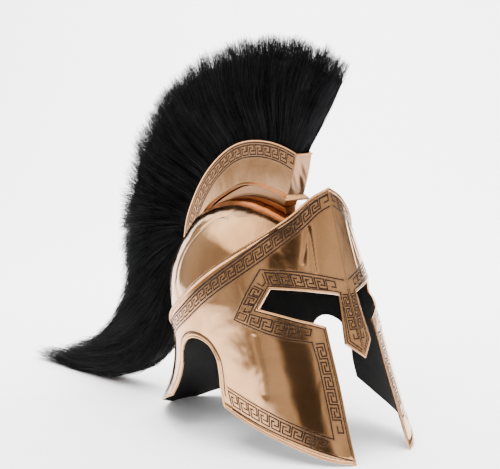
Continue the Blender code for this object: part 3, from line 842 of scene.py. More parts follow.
def arc_point(x, angle, r):
    """Points by angle and radius round the crest's centre."""
    x, a, r = np.broadcast_arrays(x, np.radians(angle), r)
    return np.stack([x, ARC_Y + r * np.sin(a), ARC_Z + r * np.cos(a)], axis=-1)


def dome_arc(angle, x):
    """Radius from the crest's centre to the dome, beside its middle line."""
    low = np.full(np.shape(angle), 0.05)
    high = np.full(np.shape(angle), 0.16)
    for _ in range(40):
        r = 0.5 * (low + high)
        p = arc_point(x, angle, r)
        y, z = p[..., 1], p[..., 2]
        reach = dome_radius(np.arctan2(abs(x), -(y - CROWN_Y)), z)
        held = (z < CROWN_Z) & (np.hypot(x, y - CROWN_Y) < reach)
        low = np.where(held, r, low)
        high = np.where(held, high, r)
    return low


def keel_top(angle):
    return dome_arc(angle, 0.0) + blend(KEEL_ANGLE, KEEL_RISE, angle)


# Where the design's middle lies in the row frame
front_edge = ARC_Y + float(keel_top(np.array(BOX_FRONT))) * math.sin(math.radians(BOX_FRONT))
SHIFT = np.array([0.0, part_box("crest_keel")[0].y - front_edge, 0.0])


def place(obj, slot, *nodes):
    obj.data.transform(Matrix.Translation(SHIFT))
    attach(obj, "root")
    if nodes:
        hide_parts(*nodes)
    return obj


# Face guard: one sheet of copper that wraps the head, with its engraved bands
BROW_BEAD = (0.0044, 0.0016, 8)      # width, height and steps of a roll
EDGE_LIP = (0.0023, 0.0008, 6)
NOTCH_ROLL = 0.0058                  # width of the soft roll along the ear notch
CHEEK_ROLL = 0.0066                  # and of the one under the cheek
SOFT_ROLL_START = 0.0019
SOFT_ROLL_HEIGHT = 0.0011

# Beaten creases of the sheet: line in mm, depth and half width in mm
CREASES = [
    ([(31.3, 231.7), (31.6, 222.0), (32.4, 206.0), (33.8, 187.3)], 0.55, 2.6),
    ([(32.8, 233.2), (37.0, 218.0), (44.8, 196.5)], 0.40, 2.2),
    ([(118.0, 178.2), (115.8, 168.5), (114.7, 128.6)], 0.30, 3.0),
    ([(115.0, 122.0), (115.4, 112.8), (115.5, 90.6), (117.5, 76.1), (119.1, 65.6)], 0.55, 3.0),
]

# Key bands between straight lines, and how many keys wide each is
STRAIGHT_KEYS = [
    (EYE_SIDE_OUT, EYE_SIDE_IN, 2.83),
    (EYE_LOW_OUT, EYE_LOW_IN, 4.83),
    (CHEEK_FRONT_OUT, CHEEK_FRONT_IN, 5.83),
    (CHEEK_LOW_IN, CHEEK_LOW_OUT, 8.83),
    (NASAL_OUT, NASAL_IN, 3.83),
]
BROW_KEYS = 27.83
BROW_KEYS_REACH = 0.955    # share of the brow band that the keys take up
EYE_TOP_KEYS = 5.83

# Small plain lines: the square and tab by the eye's corner and the nose guard's frames
SMALL_LINES = [
    ([(126.3, 138.2), (130.8, 139.4), (125.4, 145.8), (117.2, 143.4), (122.3, 137.2), (126.3, 138.2)],
     FINE_HALF),
    ([(97.5, 176.4), (91.9, 173.4), (88.0, 177.6), (89.4, 185.6)], FINE_HALF),
    ([(11.4, 164.9), (10.8, 150.0), (11.6, 138.0), (12.6, 127.0), (13.2, 117.4), (1.7, 107.8)],
     BORDER_HALF),
    ([(1.3, 168.5), (1.1, 140.0), (1.1, 123.5), (1.1, 110.5)], HAIRLINE_HALF),
]


def bend_lift(points):
    """Soft hand-beaten creases and the rolls along the ear notch and the cheek's lower edge."""
    out = np.zeros(len(points))
    for run, width in ((1, NOTCH_ROLL), (2, CHEEK_ROLL)):
        gap = line_gap(points, spline(from_shares(LOWER_RUNS[run]), 0.004))
        share = np.clip((gap - SOFT_ROLL_START) / (width - SOFT_ROLL_START), 0, 1)
        out += SOFT_ROLL_HEIGHT * np.sin(math.pi * share)**1.2
    for table, depth, width in CREASES:
        gap = line_gap(points, spline(mm(table), 0.004))
        out -= depth * MM * np.exp(-(gap / (width * MM))**2)
    return out


def bent_normals(points, normal, along, up):
    """Normals of the sheet once the soft creases are pressed in."""
    step = 0.0005
    rise = (bend_lift(points + (step, 0)) - bend_lift(points - (step, 0))) / (2 * step)
    climb = (bend_lift(points + (0, step)) - bend_lift(points - (0, step))) / (2 * step)
    return unit(normal - rise[:, None] * along - climb[:, None] * up)


def band_line(brow, offsets, clear):
    """A line at the given depths under the brow edge, kept off both seams."""
    way = lengths(brow)
    line = brow + side_normals(brow) * (blend(BAND_AT, offsets, way / way[-1]) * MM)[:, None]
    return line[(line[:, 0] > clear) & (line[:, 0] < SHEET.girth(line[:, 1]) - clear)]


def face_lines(brow):
    """Every engraved line of half the sheet, with its half width."""
    even = np.linspace(0, 1, 150)
    lines = [
        (at_share(band_line(brow, BAND_GROOVE, 0.0012), even), BEAD_GROOVE_HALF),
        (at_share(band_line(brow, BAND_BORDER, 0.0012), even), BORDER_HALF),
    ]
    short = np.linspace(0, BROW_KEYS_REACH, 200)
    low, high = (at_share(band_line(brow, depths, 0.0022), short)[::-1] for depths in (BAND_LOW, BAND_HIGH))
    keys = [(low, high, BROW_KEYS)]
    keys.append((spline(mm(EYE_TOP_IN), MM)[::-1], spline(mm(EYE_TOP_OUT), MM)[::-1], EYE_TOP_KEYS))
    keys += [(mm(a), mm(b), units) for a, b, units in STRAIGHT_KEYS]
    for a, b, units in keys:
        lines += [(line, GROOVE_HALF) for line in key_lines(a, b, units)]
    notch = spline(from_shares(LOWER_RUNS[1]), 0.0025)
    notch = notch + side_normals(notch) * (NOTCH_ROLL + 0.0004)
    lines.append((notch[3:-5], FINE_HALF))
    lines.append((straight(mm(BORDER), KEY_STEP), BORDER_HALF))
    lines.append((spline(mm(CHEEK_RIM_LINE), KEY_STEP), BORDER_HALF))
    front_runs = [spline(from_shares(run), 0.002) for run in LOWER_RUNS[3:]]
    rim = edge_rings(front_runs, [(0.0033, 0, 0, 0)], (None, "ridge"))[0][0]
    lines.append((rim[(rim[:, 0] > 0.0014) & (rim[:, 1] > 0.009)], 0.0005))
    return lines + [(straight(mm(table), KEY_STEP), half) for table, half in SMALL_LINES]


def add_rings(flat, rings, kind):
    """A rolled edge in the flat sheet: point numbers of its outer ring, and its inner line."""
    rows = []
    for ring, normals, lift, back, out in rings:
        rows.append(flat.add(ring, kind, lift, np.column_stack([normals * back, np.full(len(ring), out)])))
        flat.chain(rows[-1])
    return rows[0], rings[-1][0]


def seam_ids(flat, seam, first, last):
    """Points of the flat sheet on a seam, between two of its points, from low to high."""
    s, z = np.array(flat.points).T
    off = s if seam == "ridge" else s - SHEET.girth(z)
    near = 1e-7
    ids = np.nonzero((np.abs(off) < near) & (z > z[first] + near) & (z < z[last] - near))[0]
    return list(ids[np.argsort(z[ids])])


def face_outline(flat, brow, runs):
    """Edges of half the sheet: top, bottom and whole loop, and the inner lines of its rolls."""
    bead = edge_rings([brow], roll_profile(*BROW_BEAD), ("ridge", "nape"))
    lip = edge_rings(runs, roll_profile(*EDGE_LIP), ("nape", "ridge"))
    top, brow_in = add_rings(flat, bead, BEAD)
    low, lip_in = add_rings(flat, lip, LIP)
    for seam, below, above in (("ridge", lip_in[-1], brow_in[0]), ("nape", lip_in[0], brow_in[-1])):
        z = np.linspace(below[1], above[1], int((above[1] - below[1]) / FACE_STEP) + 1)[1:-1]
        s = np.zeros(len(z)) if seam == "ridge" else SHEET.girth(z)
        flat.add(np.stack([s, z], axis=1))
    nape = seam_ids(flat, "nape", low[0], top[-1])
    ridge = seam_ids(flat, "ridge", low[-1], top[0])
    loop = top + nape[::-1] + low + ridge
    flat.chain(loop, True)
    return top, low, loop, [brow_in, lip_in]


def inner_layer(loop):
    """The inside of the sheet: coarse and plain, one wall thickness in."""
    flat = Flat()
    ids = flat.add(loop)
    flat.chain(ids, True)
    flat.add(clear_points(field(loop, INNER_STEP), [np.vstack([loop, loop[:1]])], 0.0022))
    flat_points, _, _, _, tris = flat.mesh(ids)
    base, normal, _, _ = SHEET.frame(*flat_points.T)
    return base - normal * WALL, tris[:, ::-1], -normal[tris][:, ::-1]


def cut_rim(line, first):
    """The sheet's cut edge along a line, with its points numbered from first."""
    base, normal, _, _ = SHEET.frame(*line.T)
    count = len(line)
    k = np.arange(first, first + count - 1)
    tris = np.stack([k, k + 1, k + count, k + 1, k + count + 1, k + count], axis=-1).reshape(-1, 3)
    return np.vstack([base, base - normal * WALL]), tris


def build_face_guard():
    brow = spline(from_shares(BROW_EDGE), EDGE_STEP)
    runs = [spline(from_shares(run), EDGE_STEP) for run in LOWER_RUNS]
    flat = Flat()
    top, low, loop, inner_lines = face_outline(flat, brow, runs)
    edges = np.array(flat.points)
    outline = edges[loop]
    lines = face_lines(brow)
    for line, half in lines:
        flat.engrave(line, half)
    lines = [line for line, _ in lines]
    close = field(outline, EDGE_STEP)
    edge_gap = np.minimum(line_gap(close, runs[1]), line_gap(close, runs[2]))
    free = np.vstack([field(outline, FACE_STEP), close[edge_gap < CHEEK_ROLL + 0.0006]])
    flat.add(clear_points(free, [*lines, *inner_lines, brow, *runs], 0.0012))
    flat_points, kind, lift, tilt, tris = flat.mesh(loop)
    base, normal, along, up = SHEET.frame(*flat_points.T)
    lift = lift + np.where(kind < BEAD, bend_lift(flat_points), 0.0)
    outer = base + normal * lift[:, None]
    corners, groove = engraved_corners(outer, tris, kind, bent_normals(flat_points, normal, along, up))
    rolled = unit(tilt[:, :1] * along + tilt[:, 1:2] * up + tilt[:, 2:] * normal)
    kinds = kind[tris]
    roll = (kinds == BEAD).all(axis=1) | (kinds == LIP).all(axis=1)
    corners[roll] = rolled[tris[roll]]
    inner, inner_tris, inner_corners = inner_layer(outline)
    points = np.vstack([outer, inner])
    rims = []
    for ids in (top, low):
        rim_points, rim_tris = cut_rim(edges[ids], len(points))
        points = np.vstack([points, rim_points])
        rims.append(rim_tris)
    rims = np.vstack(rims)
    all_tris = np.vstack([tris, inner_tris + len(outer), rims])
    corners = np.vstack([corners, inner_corners, flat_corners(points, rims)])
    slots = np.concatenate([groove.astype(int), np.full(len(inner_tris), 2), np.zeros(len(rims), int)])
    tarnish_and_shade = np.concatenate([line_wear(flat_points, lines), np.zeros(len(points) - len(outer))])
    points, all_tris, corners, slots = mirrored(points, all_tris, corners, slots)
    copper = [COPPER, PATINA, BLACK]
    obj = new_object("face_guard_copper", points, all_tris, copper, slots, corners, np.tile(tarnish_and_shade, 2))
    return place(obj, "polished_copper", "face_guard")


# Skull cap: the dome inside the brow band
def cap_hem(angle):
    """Height of the cap's lower edge, hidden behind the brow band."""
    pts = SHEET.point(*spline(from_shares(BROW_EDGE), 0.002).T)
    at = np.arctan2(pts[:, 0], -(pts[:, 1] - CROWN_Y))
    order = np.argsort(at)
    return np.minimum(CAP_FRONT_Z, np.interp(angle, at[order], pts[order, 2]) - CAP_HEM)


def crease_drop(angle, z):
    """Panel line of the dome: a narrow valley along a short table."""
    mean_radius = 0.095
    depth = 0.0010
    width = 0.0019
    line = spline(np.array([(math.radians(a) * mean_radius, h * MM) for a, h in DOME_CREASE]), 0.002)
    p = np.stack([angle * mean_radius, z], axis=-1)
    gap = line_gap(p.reshape(-1, 2), line)
    return (-depth * np.exp(-(gap / width)**2)).reshape(z.shape)


def build_skull_cap():
    turns = 240
    levels = 80
    angle = np.linspace(-math.pi, math.pi, turns + 1)[:-1]
    t = np.linspace(0, 1, levels + 1)[:-1]
    hem = cap_hem(np.abs(angle))
    climb = np.sin(t**1.3 * math.pi / 2)[:, None]
    z = hem + (CROWN_Z - hem) * climb
    a = np.broadcast_to(angle, z.shape)
    r = dome_radius(np.abs(a), z) + crease_drop(np.abs(a), z)

    def skin(wall):
        radius = np.maximum(r - wall, 0.0)
        shell = np.stack([radius * np.sin(a), CROWN_Y - radius * np.cos(a), z - wall * climb**3], axis=-1)
        return np.vstack([shell.reshape(-1, 3), (0.0, CROWN_Y, CROWN_Z - wall)])

    outer = skin(0.0)
    points = np.vstack([outer, skin(WALL)])
    pole = levels * turns
    j = np.arange(turns)
    k = (j + 1) % turns
    fan = np.stack([pole - turns + j, pole - turns + k, np.full(turns, pole)], axis=-1)
    tris = np.vstack([grid_tris(levels, turns, True), fan])
    below = pole + 1
    rim = np.stack([k, j, below + j, k, below + j, below + k], axis=-1).reshape(-1, 3)
    normals = smooth_normals(outer, tris)
    corners = np.vstack([normals[tris], -normals[tris][:, ::-1], flat_corners(points, rim)])
    slots = np.repeat([0, 1, 0], [len(tris), len(tris), len(rim)])
    all_tris = np.vstack([tris, tris[:, ::-1] + below, rim])
    obj = new_object("skull_cap_copper", points, all_tris, [COPPER_CAP, BLACK], slots, corners)
    return place(obj, "polished_copper", "skull_cap")


def build_crest_keel():
    """Crest keel: the strip on the dome that carries the crest box."""
    angles = np.linspace(BOX_FRONT, BOX_BACK, 121)
    top = keel_top(angles)
    edge = dome_arc(angles, KEEL_HALF) + 2 * CLEARANCE
    middle = dome_arc(angles, 0.0) + 2 * CLEARANCE
    foot = 1.12 * KEEL_HALF
    side = [(foot, edge), (foot, edge + 0.0007), (KEEL_HALF, edge + 0.0015), (KEEL_HALF, top - 0.0006)]
    side.append((KEEL_HALF - 0.0006, top))
    shape = [(-x, r) for x, r in side] + side[::-1] + [(0.0, middle)]
    squeeze = 0.82 + 0.18 * np.clip((angles - BOX_FRONT) / 0.8, 0, 1)**0.5
    points = np.stack([arc_point(x * squeeze, angles, r) for x, r in shape], axis=1).reshape(-1, 3)
    count = len(shape)
    cap = np.array([(0, k, k + 1) for k in range(1, count - 1)])
    tris = np.vstack([grid_tris(len(angles), count, True), cap, cap[:, ::-1] + len(points) - count])
    # A set darkening over the whole keel paints the shade under the crest box, partly tarnish.
    obj = new_object("crest_keel_copper", points, tris, [COPPER_KEEL_SHADED], tarnish_and_shade=np.full(len(points), 0.25))
    obj.data.polygons.foreach_set("use_smooth", np.zeros(len(tris), bool))
    return place(obj, "polished_copper", "crest_keel")


# Crest box
ARC_SCALE = 0.135          # radius at which the box's wall is laid flat
FLANGE_RISE = 0.0034
RIM_DROP = 0.0018
CREST_KEYS = 20.83


def box_lean(angle):
    return BOX_FRONT_LEAN * (BOX_BACK - angle) / (BOX_BACK - BOX_FRONT)


def box_foot(angle):
    return keel_top(angle) + CLEARANCE * 1.3


def box_top(angle):
    return blend(BOX_ANGLE, BOX_TOP, np.minimum(angle + box_lean(angle), BOX_BACK)) * HELMET_HEIGHT


def box_point(x_share, angle, out_x, along, dent, r, out):
    """A point of the crest box from its place round the box and up the wall."""
    foot = box_foot(angle)
    share = (r - foot) / (box_top(angle) - foot)
    half = BOX_HALF + (BOX_HALF_TOP - BOX_HALF) * share
    arc = angle + box_lean(angle) * share + np.degrees(along * (out - dent) / r)
    return arc_point(x_share * half + out_x * out, arc, r)


def box_loop(angles):
    """Stations round the box: right side to the back, left side to the front."""
    ends = np.zeros(len(angles))
    ends[0] = -1.0
    ends[-1] = 1.0
    side = np.ones(len(angles))
    right = np.stack([side, angles, side, ends], axis=1)
    back = (0.0, BOX_BACK, 0.0, 1.0)
    front = (0.0, BOX_FRONT, 0.0, -1.0)
    return np.vstack([right, back, right[::-1] * (-1, 1, -1, 1), front])


def box_side(angles):
    """Engraved side wall, laid flat by way along the arc and radius, then set round the arc."""
    flat = Flat()
    foot = box_foot(angles) + FLANGE_RISE
    top = box_top(angles) - RIM_DROP
    way = np.radians(angles) * ARC_SCALE
    low = flat.add(np.stack([way, foot], axis=1))
    high = flat.add(np.stack([way, top], axis=1))
    ends = []
    for k in (0, -1):
        rise = np.linspace(foot[k], top[k], 11)[1:-1]
        ends.append(flat.add(np.stack([np.full(len(rise), way[k]), rise], axis=1)))
    front, back = ends
    loop = low + back + high[::-1] + front[::-1]
    flat.chain(loop, True)
    outline = np.array(flat.points)[loop]
    fine = np.linspace(BOX_FRONT + 1.2, BOX_BACK - 1.2, 240)

    def under(drop):
        return np.stack([np.radians(fine) * ARC_SCALE, box_top(fine) - drop], axis=1)

    lines = [(under(0.0030)[::2], FINE_HALF), (under(0.0182)[::2], BORDER_HALF)]
    keys = key_lines(under(0.0158)[::-1], under(0.0056)[::-1], CREST_KEYS)
    lines += [(line, GROOVE_HALF) for line in keys]
    for line, half in lines:
        flat.engrave(line, half)
    lines = [line for line, _ in lines]
    flat.add(clear_points(field(outline, BOX_STEP), [*lines, outline], 0.0014))
    flat_points, kind, _, _, tris = flat.mesh(loop)
    angle = np.degrees(flat_points[:, 0] / ARC_SCALE)
    deep = np.where(kind == GROOVE_FLOOR, GROOVE_DEPTH, 0.0)
    plain = box_point(1.0, angle, 1.0, 0.0, 0.0, flat_points[:, 1], 0.0)
    points = box_point(1.0, angle, 1.0, 0.0, 0.0, flat_points[:, 1], -deep)
    if face_crosses(plain, tris[:1])[0, 0] < 0:
        tris = tris[:, ::-1]
    corners, groove = engraved_corners(points, tris, kind, smooth_normals(plain, tris))
    return points, tris, corners, groove.astype(int), line_wear(flat_points, lines)


def crinkle(x, share):
    """Dent of the front plate: a broad fold down its middle and small crumples."""
    fold = 0.32 * FOLD * np.exp(-(x / 0.6)**2) * np.sin(np.pi * np.clip(share / 0.9, 0, 1))
    slope = x - 0.5 + 0.9 * share
    facet = 0.0006 * np.exp(-(slope / 0.35)**2)
    ripple = 0.00020 * np.sin(8.0 * x + 21.0 * share) * np.sin(np.pi * share)
    return fold + facet + ripple


def with_corners(points, tris, slot):
    return points, tris, smooth_normals(points, tris)[tris], np.full(len(tris), slot)


def box_plate(front):
    x, share = np.meshgrid(np.linspace(-1, 1, 33), np.linspace(0, 1, 40))
    angle = np.full(x.shape, BOX_FRONT if front else BOX_BACK)
    foot = box_foot(angle) + FLANGE_RISE
    r = foot + share * (box_top(angle) - RIM_DROP - foot)
    dent = crinkle(x, share) * (1 - x**8) if front else 0.0
    points = box_point(x, angle, 0.0, -1.0 if front else 1.0, dent, r, 0.0).reshape(-1, 3)
    tris = grid_tris(*x.shape)
    return with_corners(points, tris if front else tris[:, ::-1], 2 if front else 0)


def box_trim(angles, profile):
    """A strip round the whole box from rows of an edge, the height over it and the outward reach."""
    x, angle, out_x, along = box_loop(angles).T
    rows = [box_point(x, angle, out_x, along, 0.0, edge(angle) + rise, out) for edge, rise, out in profile]
    return with_corners(np.stack(rows, axis=0).reshape(-1, 3), grid_tris(len(rows), len(x), True), 0)


def joined(parts):
    """Meshes put together, with their point numbers moved on."""
    firsts = np.cumsum([0] + [len(part[0]) for part in parts])
    tris = np.vstack([part[1] + first for part, first in zip(parts, firsts)])
    return (
        np.vstack([part[0] for part in parts]), tris,
        np.vstack([part[2] for part in parts]), np.concatenate([part[3] for part in parts]),
    )


def build_crest_box():
    angles = np.linspace(BOX_FRONT, BOX_BACK, 119)
    *half, tarnish_and_shade = box_side(angles)
    flange = box_trim(angles, [
        (box_foot, 0.0, -BOX_WALL), (box_foot, 0.0, FLANGE), (box_foot, 0.0006, FLANGE + 0.0003),
        (box_foot, 0.0012, FLANGE), (box_foot, 0.0018, FLANGE - 0.0016), (box_foot, 0.0025, 0.0012),
        (box_foot, FLANGE_RISE, 0.0),
    ])
    rim = box_trim(angles, [
        (box_top, -RIM_DROP, 0.0), (box_top, -0.0014, 0.0006), (box_top, -0.0007, 0.0009),
        (box_top, 0.0, 0.0005), (box_top, 0.0, -BOX_WALL), (box_foot, 0.0, -BOX_WALL),
    ])
    trims = [box_plate(True), box_plate(False), flange, rim]
    points, tris, corners, slots = joined([mirrored(*half), *trims])
    # Darkening of each trim: on the flange it paints the shade at the box's foot, elsewhere tarnish.
    trim_tarnish_and_shade = [np.full(len(part[0]), amount) for part, amount in zip(trims, (0.85, 0.3, 0.75, 0.1))]
    tarnish_and_shade = np.concatenate([tarnish_and_shade, tarnish_and_shade, *trim_tarnish_and_shade])
    copper = [COPPER_CREST, PATINA, COPPER_PLATE]
    obj = new_object("crest_box_copper", points, tris, copper, slots, corners, tarnish_and_shade)
    return place(obj, "polished_copper", "crest_box")


# Plume
HAIR_STEPS = np.array([-0.06, 0.06, 0.17, 0.30, 0.44, 0.58, 0.72, 0.86, 1.0])
HAIR_WIDTH = 0.00056
STRAY_WIDTH = 0.00042
HAIR_PAST_BOX = 0.020      # how far loose hair may reach behind the solids
LOCK_PULL = 0.20           # how far tips are drawn to the middle of their lock
LOCK_LANES = 4
LOCK_FANS = 54


def plume_row(u):
    """Root angle, guides and half width of the plume at shares of the way from front to tail."""
    ticks = np.arange(len(PLUME_ROWS))
    at = np.clip(u, 0, 1) * ticks[-1]
    guides = []
    for column in (1, 2, 3):
        place_at = [blend(ticks, [row[column][axis] for row in PLUME_ROWS], at) for axis in (0, 1)]
        guides.append(np.stack(place_at, axis=-1) * HELMET_HEIGHT)
    return blend(ticks, [row[0] for row in PLUME_ROWS], at), guides, blend(ticks, PLUME_SPREAD, at)


def hair_path(u, w, v):
    """Points of the plume's body: share along the fan, across it and out from the root."""
    angle, guides, spread = plume_row(u)
    root = arc_point(0.0, angle, blend(BOX_ANGLE, BOX_TOP, angle) * HELMET_HEIGHT + 0.005)[..., 1:]
    reach = np.maximum(v, 0.0)
    path = bezier(root, *guides, reach)
    a = np.radians(angle)
    path = path + np.stack([np.sin(a), np.cos(a)], axis=-1) * (np.minimum(v, 0.0) * 0.3)[..., None]
    root_half = BOX_HALF_TOP - BOX_WALL - CLEARANCE
    swell = np.where(reach < 0.65, np.sin(math.pi * np.minimum(reach / 1.3, 1.0)), 1.0)
    full = root_half + (spread - root_half) * swell
    taper = 1.0 - 0.55 * np.maximum(0.0, (reach - 0.5) / 0.5)**1.5
    return np.stack([w * full * taper, path[..., 0], path[..., 1]], axis=-1)


def ribbons(seed, count, width, low, high, stray=0.0):
    """Tapering hair ribbons, drawn together into locks toward their tips."""
    rng = np.random.default_rng(seed)
    u = low + (high - low) * rng.random(count)
    side = rng.random(count) * 2 - 1
    w = np.sign(side) * np.abs(side)**0.72
    fan = np.floor(u * LOCK_FANS)
    lane = np.floor((w + 1) / 2 * LOCK_LANES * 0.999)
    lock = (fan * LOCK_LANES + lane).astype(int)
    jitter = np.random.default_rng(7).random(((LOCK_FANS + 1) * LOCK_LANES, 6))[lock]
    centre_u = (fan + 0.5 + 0.7 * (jitter[:, 0] - 0.5)) / LOCK_FANS
    centre_w = (lane + 0.5 + 0.6 * (jitter[:, 1] - 0.5)) / LOCK_LANES * 2 - 1
    length = 0.965 + 0.055 * jitter[:, 2] - 0.20 * rng.random(count)**2.4
    short = rng.random(count) < 0.12
    length = np.where(short, length * (0.45 + 0.5 * rng.random(count)), length)
    length = length + stray * rng.random(count) * 0.05
    v = HAIR_STEPS * length[:, None]
    pull = LOCK_PULL * (1 - stray) * np.clip(v, 0, 1)**2.0
    path = hair_path(
        u[:, None] + (centre_u - u)[:, None] * pull, w[:, None] + (centre_w - w)[:, None] * pull * 0.8, v)
    grow = np.clip(v, 0, 1)**1.2
    amount = 0.0030 + 0.0050 * u[:, None] + 0.005 * stray
    for axis in range(3):
        phase = rng.random((count, 2)) * 6.28
        wave = np.sin(5.0 * v + phase[:, :1]) * 0.6 + np.sin(9.0 * v + phase[:, 1:]) * 0.4
        together = np.sin(6.0 * v + jitter[:, 3 + axis, None] * 6.28)
        path[..., axis] += grow * (amount * wave + 0.0016 * together)
    path[..., 1] = np.minimum(path[..., 1], cad_bounds[1][1] + HAIR_PAST_BOX - SHIFT[1])
    path[..., 2] = np.maximum(path[..., 2], 0.0008)
    across = unit(np.cross(unit(np.gradient(path, axis=1)), rng.normal(size=(count, 1, 3))))
    taper = np.interp(HAIR_STEPS, [-0.06, 0.5, 1.0], [1.0, 0.95, 0.30])
    thick = width * (0.7 + 0.6 * rng.random(count))[:, None] * taper
    reach = across * thick[..., None] / 2
    points = np.stack([path - reach, path + reach], axis=2).reshape(-1, 3)
    points[:, 2] = np.maximum(points[:, 2], 0.0003)
    strip = grid_tris(len(HAIR_STEPS), 2)
    tris = (strip + (np.arange(count) * 2 * len(HAIR_STEPS))[:, None, None]).reshape(-1, 3)
    slots = np.repeat(rng.choice(3, size=count, p=[0.45, 0.4, 0.15]), len(strip))
    return points, tris, slots


def build_core():
    """Dark underhair that closes the gaps between the ribbons."""
    rows = 91
    cols = 22
    u, v = np.meshgrid(np.linspace(0.0, 1.0, rows), np.linspace(-0.06, 1.0, cols), indexing="ij")
    ripple = u * 150.0 + 9.0 * np.sin(u * 31.0)
    notch = 0.82 - 0.05 * (0.5 + 0.5 * np.sin(ripple))
    w = 0.86 - 0.10 * (0.5 + 0.5 * np.cos(ripple))
    skins = [hair_path(u, sign * w, v * np.where(v > 0, notch, 1.0)).reshape(-1, 3) for sign in (-1.0, 1.0)]
    points = np.vstack(skins)
    points[:, 2] = np.maximum(points[:, 2], 0.0010)
    tris = grid_tris(rows, cols)
    grid = np.arange(rows * cols).reshape(rows, cols)
    a = np.concatenate([grid[:, 0], grid[-1, 1:], grid[-2::-1, -1], grid[0, -2:0:-1]])
    b = np.roll(a, -1)
    other = rows * cols
    strip = np.stack([a, other + a, b, b, other + a, other + b], axis=-1).reshape(-1, 3)
    obj = new_object("plume_core", points, np.vstack([tris[:, ::-1], tris + other, strip]), [CORE])
    return place(obj, "black_horsehair", "plume")


def build_hair():
    plan = [
        ("plume_hair_front", 11, 11500, HAIR_WIDTH, 0.0, 0.42),
        ("plume_hair_middle", 12, 11500, HAIR_WIDTH, 0.34, 0.72),
        ("plume_hair_back", 13, 11500, HAIR_WIDTH, 0.62, 0.90),
        ("plume_hair_tail", 14, 9500, HAIR_WIDTH, 0.80, 1.0),
        ("plume_hair_stray", 21, 420, STRAY_WIDTH, 0.0, 0.88, 1.0),
    ]
    for name, *settings in plan:
        points, tris, slots = ribbons(*settings)
        place(new_object(name, points, tris, HAIR, slots), "black_horsehair")


build_core()
build_hair()
build_crest_keel()
build_crest_box()
build_skull_cap()
build_face_guard()

# Floor, light and camera
CAMERA_SPOT = (-0.90410, -0.95905, 0.37183)
CAMERA_AIM = (0.66447, 0.73796, -0.11783)
FLOOR_COLOUR = (0.93, 0.93, 0.935)

# Brightness of what the copper mirrors: by degrees round, where 0 is in front
# of the helmet and -90 on its right, and by degrees of height
REFLECTED_AZIMUTH = [
    (-180, 0.45), (-160, 0.75), (-142, 0.60), (-130, 0.50), (-118, 0.75), (-101, 0.45), (-84, 0.85),
    (-71, 0.95), (-67, 0.40), (-62, 0.11), (-30, 0.09), (-22, 0.20), (-14, 1.10), (2, 0.75), (14, 1.0),
    (30, 0.9), (56, 0.6), (78, 0.9), (92, 0.25), (112, 0.14), (145, 0.20), (180, 0.20),
]
REFLECTED_RISE = [(-90, 0.0), (33, 0.0), (40, 2.3), (48, 3.0), (66, 2.8), (80, 1.2), (90, 0.6)]
BRIGHTEST = 3.0

# Lamps: place, aim, width, height and power
HELMET_CENTRE = (0.0, -0.15, 0.15)
LAMPS = [
    ("key_light", (-1.3, -0.7, 2.1), HELMET_CENTRE, 1.0, 1.0, 62),
    ("front_light", (0.3, -2.3, 1.5), HELMET_CENTRE, 1.6, 1.2, 30),
    ("fill_light", (1.9, -0.4, 1.3), HELMET_CENTRE, 1.4, 1.6, 22),
    ("top_light", (0.0, 0.0, 2.4), HELMET_CENTRE, 1.6, 1.6, 112),
    ("backdrop_light", (1.2, 0.6, 2.6), (2.2, 2.4, 0.8), 2.6, 2.6, 260),
]


def build_floor():
    """Pale floor, and behind the helmet a narrower wall that it sweeps up into."""
    wide = 6.0
    narrow = 2.2
    wall_top = 6.0
    bend_at = 1.6
    bend = 1.2
    ahead = unit(np.array(CAMERA_AIM[:2]))
    aside = np.array([ahead[1], -ahead[0]])
    rows = [(-4.0, 0.0, wide), (bend_at, 0.0, wide)]
    for a in np.arange(1, 13) / 12 * math.pi / 2:
        reach = bend_at + bend * math.sin(a)
        rows.append((reach, bend - bend * math.cos(a), narrow))
    rows.append((bend_at + bend, wall_top, narrow))
    points = []
    for reach, z, half in rows:
        for side in (-half, half):
            points.append((*(ahead * reach + aside * side), z))
    dark = tuple(c * 0.985 for c in FLOOR_COLOUR)
    pale = dull_material("pale_floor", (1.5, 2.0, 0.5), (0.2, dark), (0.8, FLOOR_COLOUR), 0.9, 0.1)
    new_object("floor", np.array(points), grid_tris(len(rows), 2)[:, ::-1], [pale])


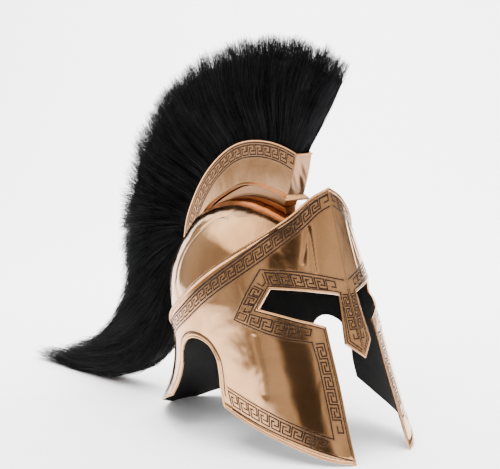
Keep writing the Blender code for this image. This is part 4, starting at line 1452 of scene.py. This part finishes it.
def shell_material(radius):
    """Glow of the studio wall by direction, read from the wall's own coordinates."""
    m, tree, coords = new_material("studio_shell_glow")
    parts = node(tree, "ShaderNodeSeparateXYZ", {"Vector": coords}).outputs
    azimuth = maths(tree, "ARCTAN2", parts["X"], maths(tree, "MULTIPLY", parts["Y"], -1.0))
    rise = maths(tree, "ARCSINE", maths(tree, "DIVIDE", parts["Z"], radius))
    wobble = maths(tree, "MULTIPLY", noise(tree, coords, 0.35, 2.0, 0.5), 0.05)
    turn = maths(tree, "ADD", maths(tree, "MULTIPLY_ADD", azimuth, 0.5 / math.pi, 0.475), wobble)
    height = maths(tree, "MULTIPLY_ADD", rise, 1 / math.pi, 0.5)
    sides = grey_ramp(tree, turn, *(((at + 180) / 360, glow / BRIGHTEST) for at, glow in REFLECTED_AZIMUTH))
    above = grey_ramp(tree, height, *(((at + 90) / 180, glow / BRIGHTEST) for at, glow in REFLECTED_RISE))
    both = mix(tree, 1.0, sides, above, "ADD")
    shade(tree, {
        "Emission Color": mix(tree, 1.0, both, (1.0, 0.93, 0.80), "MULTIPLY"),
        "Emission Strength": BRIGHTEST,
        "Base Color": (0.0, 0.0, 0.0, 1.0),
        "Specular IOR Level": 0.0,
    })
    return m


def build_studio_shell():
    """Round studio wall that only the polished copper mirrors: soft boxes and dark gaps."""
    rows, cols, radius = 24, 48, 9.0
    tilt, turn = np.meshgrid(
        np.linspace(-math.pi / 2, math.pi / 2, rows), np.linspace(-math.pi, math.pi, cols), indexing="ij")
    points = np.stack([np.cos(tilt) * np.sin(turn), -np.cos(tilt) * np.cos(turn), np.sin(tilt)], axis=-1)
    points = (points * radius).reshape(-1, 3)
    obj = new_object("studio_shell", points, grid_tris(rows, cols), [shell_material(radius)])
    obj.visible_camera = False
    obj.visible_shadow = False
    obj.visible_diffuse = False


def aimed(name, data, spot, direction):
    """A lamp or camera in the scene that looks along a direction."""
    obj = bpy.data.objects.new(name, data)
    obj.location = spot
    obj.rotation_mode = "QUATERNION"
    obj.rotation_quaternion = Vector(direction).to_track_quat("-Z", "Y")
    bpy.context.scene.collection.objects.link(obj)
    return obj


build_floor()
build_studio_shell()
for name, spot, aim, width, height, power in LAMPS:
    data = bpy.data.lights.new(name, "AREA")
    data.shape = "RECTANGLE"
    data.size = width
    data.size_y = height
    data.energy = power
    aimed(name, data, spot, Vector(aim) - Vector(spot)).visible_glossy = False

world = bpy.data.worlds.new("studio")
world.use_nodes = True
feed(world.node_tree, world.node_tree.nodes["Background"].inputs, {
    "Color": (0.97, 0.975, 0.98, 1.0),
    "Strength": 1.5,
})
bpy.context.scene.world = world

data = bpy.data.cameras.new("photo_camera")
data.lens = 87.14
data.sensor_width = 36.0
data.clip_start = 0.05
bpy.context.scene.camera = aimed("photo_camera", data, Vector(CAMERA_SPOT) + Vector(SHIFT), CAMERA_AIM)
